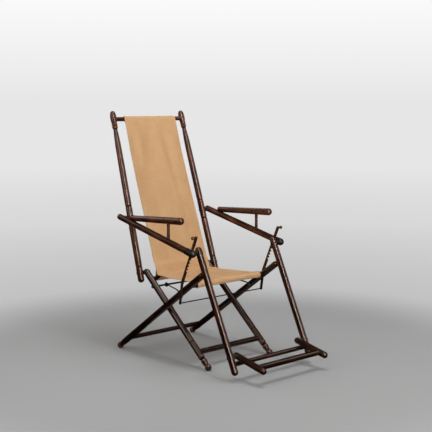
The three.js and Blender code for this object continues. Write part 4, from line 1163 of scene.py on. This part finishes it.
# %% Casing on the rear rail
CASING_REACH, CASING_UNDER = 30, 1.6
CASING_WRAP, CASING_LOW, CASING_TURN = RAILS["rear_seat_rail"] + 0.9, 118, 212
CASING_HALF, CASING_MM = 149, 1.1
casing_start = bend + CASING_REACH * along_seat - CASING_UNDER * seat_up
casing_end = bend - CASING_REACH * down_back - CASING_UNDER * sitter
low_turn = angle_of(seat_up) + CASING_LOW
casing_route = [*line(casing_start, rear_at + CASING_WRAP * heading(low_turn), 4),
                *arc(rear_at, CASING_WRAP, low_turn, CASING_TURN, 2.4)[1:]]
casing_route += line(casing_route[-1], casing_end, 4)[1:]
casing_route = np.array(casing_route)
casing_length = np.concatenate([[0], np.cumsum(np.hypot(*np.diff(casing_route, axis=0).T))])
mesh = bmesh.new()
bmesh.ops.create_grid(mesh, x_segments=24, y_segments=len(casing_route) - 1, size=1)
uv = mesh.loops.layers.uv.new("cloth")
flat_casing = {}
for vertex in mesh.verts:
    row = round((vertex.co.y + 1) / 2 * (len(casing_route) - 1))
    across_mm = vertex.co.x * CASING_HALF
    flat_casing[vertex] = (across_mm * MM, casing_length[row] * MM)
    vertex.co = (across_mm * MM, casing_route[row][0] * MM, casing_route[row][1] * MM)
for face in mesh.faces:
    for loop in face.loops:
        loop[uv].uv = flat_casing[loop.vert]
bmesh.ops.solidify(mesh, geom=mesh.faces[:], thickness=CASING_MM * MM)
casing = finished(mesh, "sling_casing", "front_legs", canvas)
print("casing", round(casing_length[-1]), "mm round")

# %% [markdown]
# ### Stitches
# Two rows of waxed thread close each sleeve, one row runs down each side hem and two hold the
# casing. A stitch is a small flattened bead of thread that lies on the cloth and dips in at its ends.
# Real ones are about 3 mm long. These are drawn 5 mm long, so that they show.

# %% Sewing
STITCH_MM, STITCH_STEP, STITCH_WIDE, STITCH_THICK = 5.0, 7.0, 0.75, 0.42
SEAM_INSETS, SIDE_INSET, SEAM_END = (3, 9), 10.5, 4


def on_cloth(length, across_mm):
    """The place on the hung cloth, and the ways across it, along it and out of it, at a flat place."""
    row = int(np.clip(np.searchsorted(length_at, length) - 1, 0, row_count - 2))
    share = (length - length_at[row]) / (length_at[row + 1] - length_at[row])
    xs = across_at[row] * (1 - share) + across_at[row + 1] * share
    column = int(np.clip(np.searchsorted(xs, across_mm) - 1, 0, column_count - 2))
    part = (across_mm - xs[column]) / (xs[column + 1] - xs[column])
    a, b, c, d = (cloth_places[row + i, column + j] for i in (0, 1) for j in (0, 1))
    place = (a * (1 - part) + b * part) * (1 - share) + (c * (1 - part) + d * part) * share
    over, down = Vector(b - a + d - c).normalized(), Vector(c - a + d - b).normalized()
    return Vector(place), over, down, down.cross(over).normalized()


bead_of_thread = bmesh.new()
bmesh.ops.create_uvsphere(bead_of_thread, u_segments=6, v_segments=4, radius=1)
one_stitch = bpy.data.meshes.new("one_stitch")
bead_of_thread.to_mesh(one_stitch)
bead_of_thread.free()


def sew(name, seams, bodies, bends):
    """Small beads of thread along the seams. A seam lists flat places, whether each stitch runs along the
    sling, and how far it lies below the cloth's face."""
    body_low, body_high = bodies
    start, end = bends
    mesh = bmesh.new()
    for seam in seams:
        for length, across_mm, lengthwise, below in seam:
            place, over, down, out = on_cloth(length, across_mm)
            way = down if lengthwise else over
            if below:
                out = -out
                place = place + out * (below * MM)
            size = Matrix.Diagonal((STITCH_WIDE * MM, STITCH_THICK * MM, STITCH_MM / 2 * MM, 1))
            turn = Matrix((way.cross(out), out, way)).transposed().to_4x4()
            lie = Matrix.Translation(place + out * 0.1 * MM) @ turn @ size
            one_stitch.transform(lie)
            mesh.from_mesh(one_stitch)
            one_stitch.transform(lie.inverted())
    piece = placed(mesh, name, thread)
    piece.data.shade_smooth()
    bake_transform(piece, body_low, body_high, start=start, end=end)
    return piece


def cross_seam(length):
    half = half_width(length) - SEAM_END
    count = int(2 * half / STITCH_STEP)
    return [(length, -half + STITCH_STEP * (i + 0.5), False, 0) for i in range(count)]


def side_seams(start, end, below=0):
    count = int((end - start) / STITCH_STEP)
    places = [start + STITCH_STEP * (i + 0.5) for i in range(count)]
    return [[(p, side * (half_width(p) - SIDE_INSET), True, below) for p in places] for side in (-1, 1)]


part_length = length_at[part_row]
back_seams = [cross_seam(top_at_length + HEM - inset) for inset in SEAM_INSETS]
back_seams += side_seams(top_at_length + 2, part_length)
back_seams += side_seams(top_at_length + HEM + 2, part_length, CANVAS_MM)
back_seams.append(cross_seam(bend_at_length - CASING_REACH + bend_reach))
front_seams = [cross_seam(seat_end - HEM + inset) for inset in SEAM_INSETS]
front_seams += side_seams(part_length, seat_end) + side_seams(part_length, seat_end - HEM, CANVAS_MM)
front_seams.append(cross_seam(seat_start + CASING_REACH - bend_reach))
back_thread = sew("sling_back_stitches", back_seams, BACK_BODIES, back_bends)
seat_thread = sew("sling_seat_stitches", front_seams, SEAT_BODIES, seat_bends)
print("stitches:", sum(len(s) for s in back_seams + front_seams))
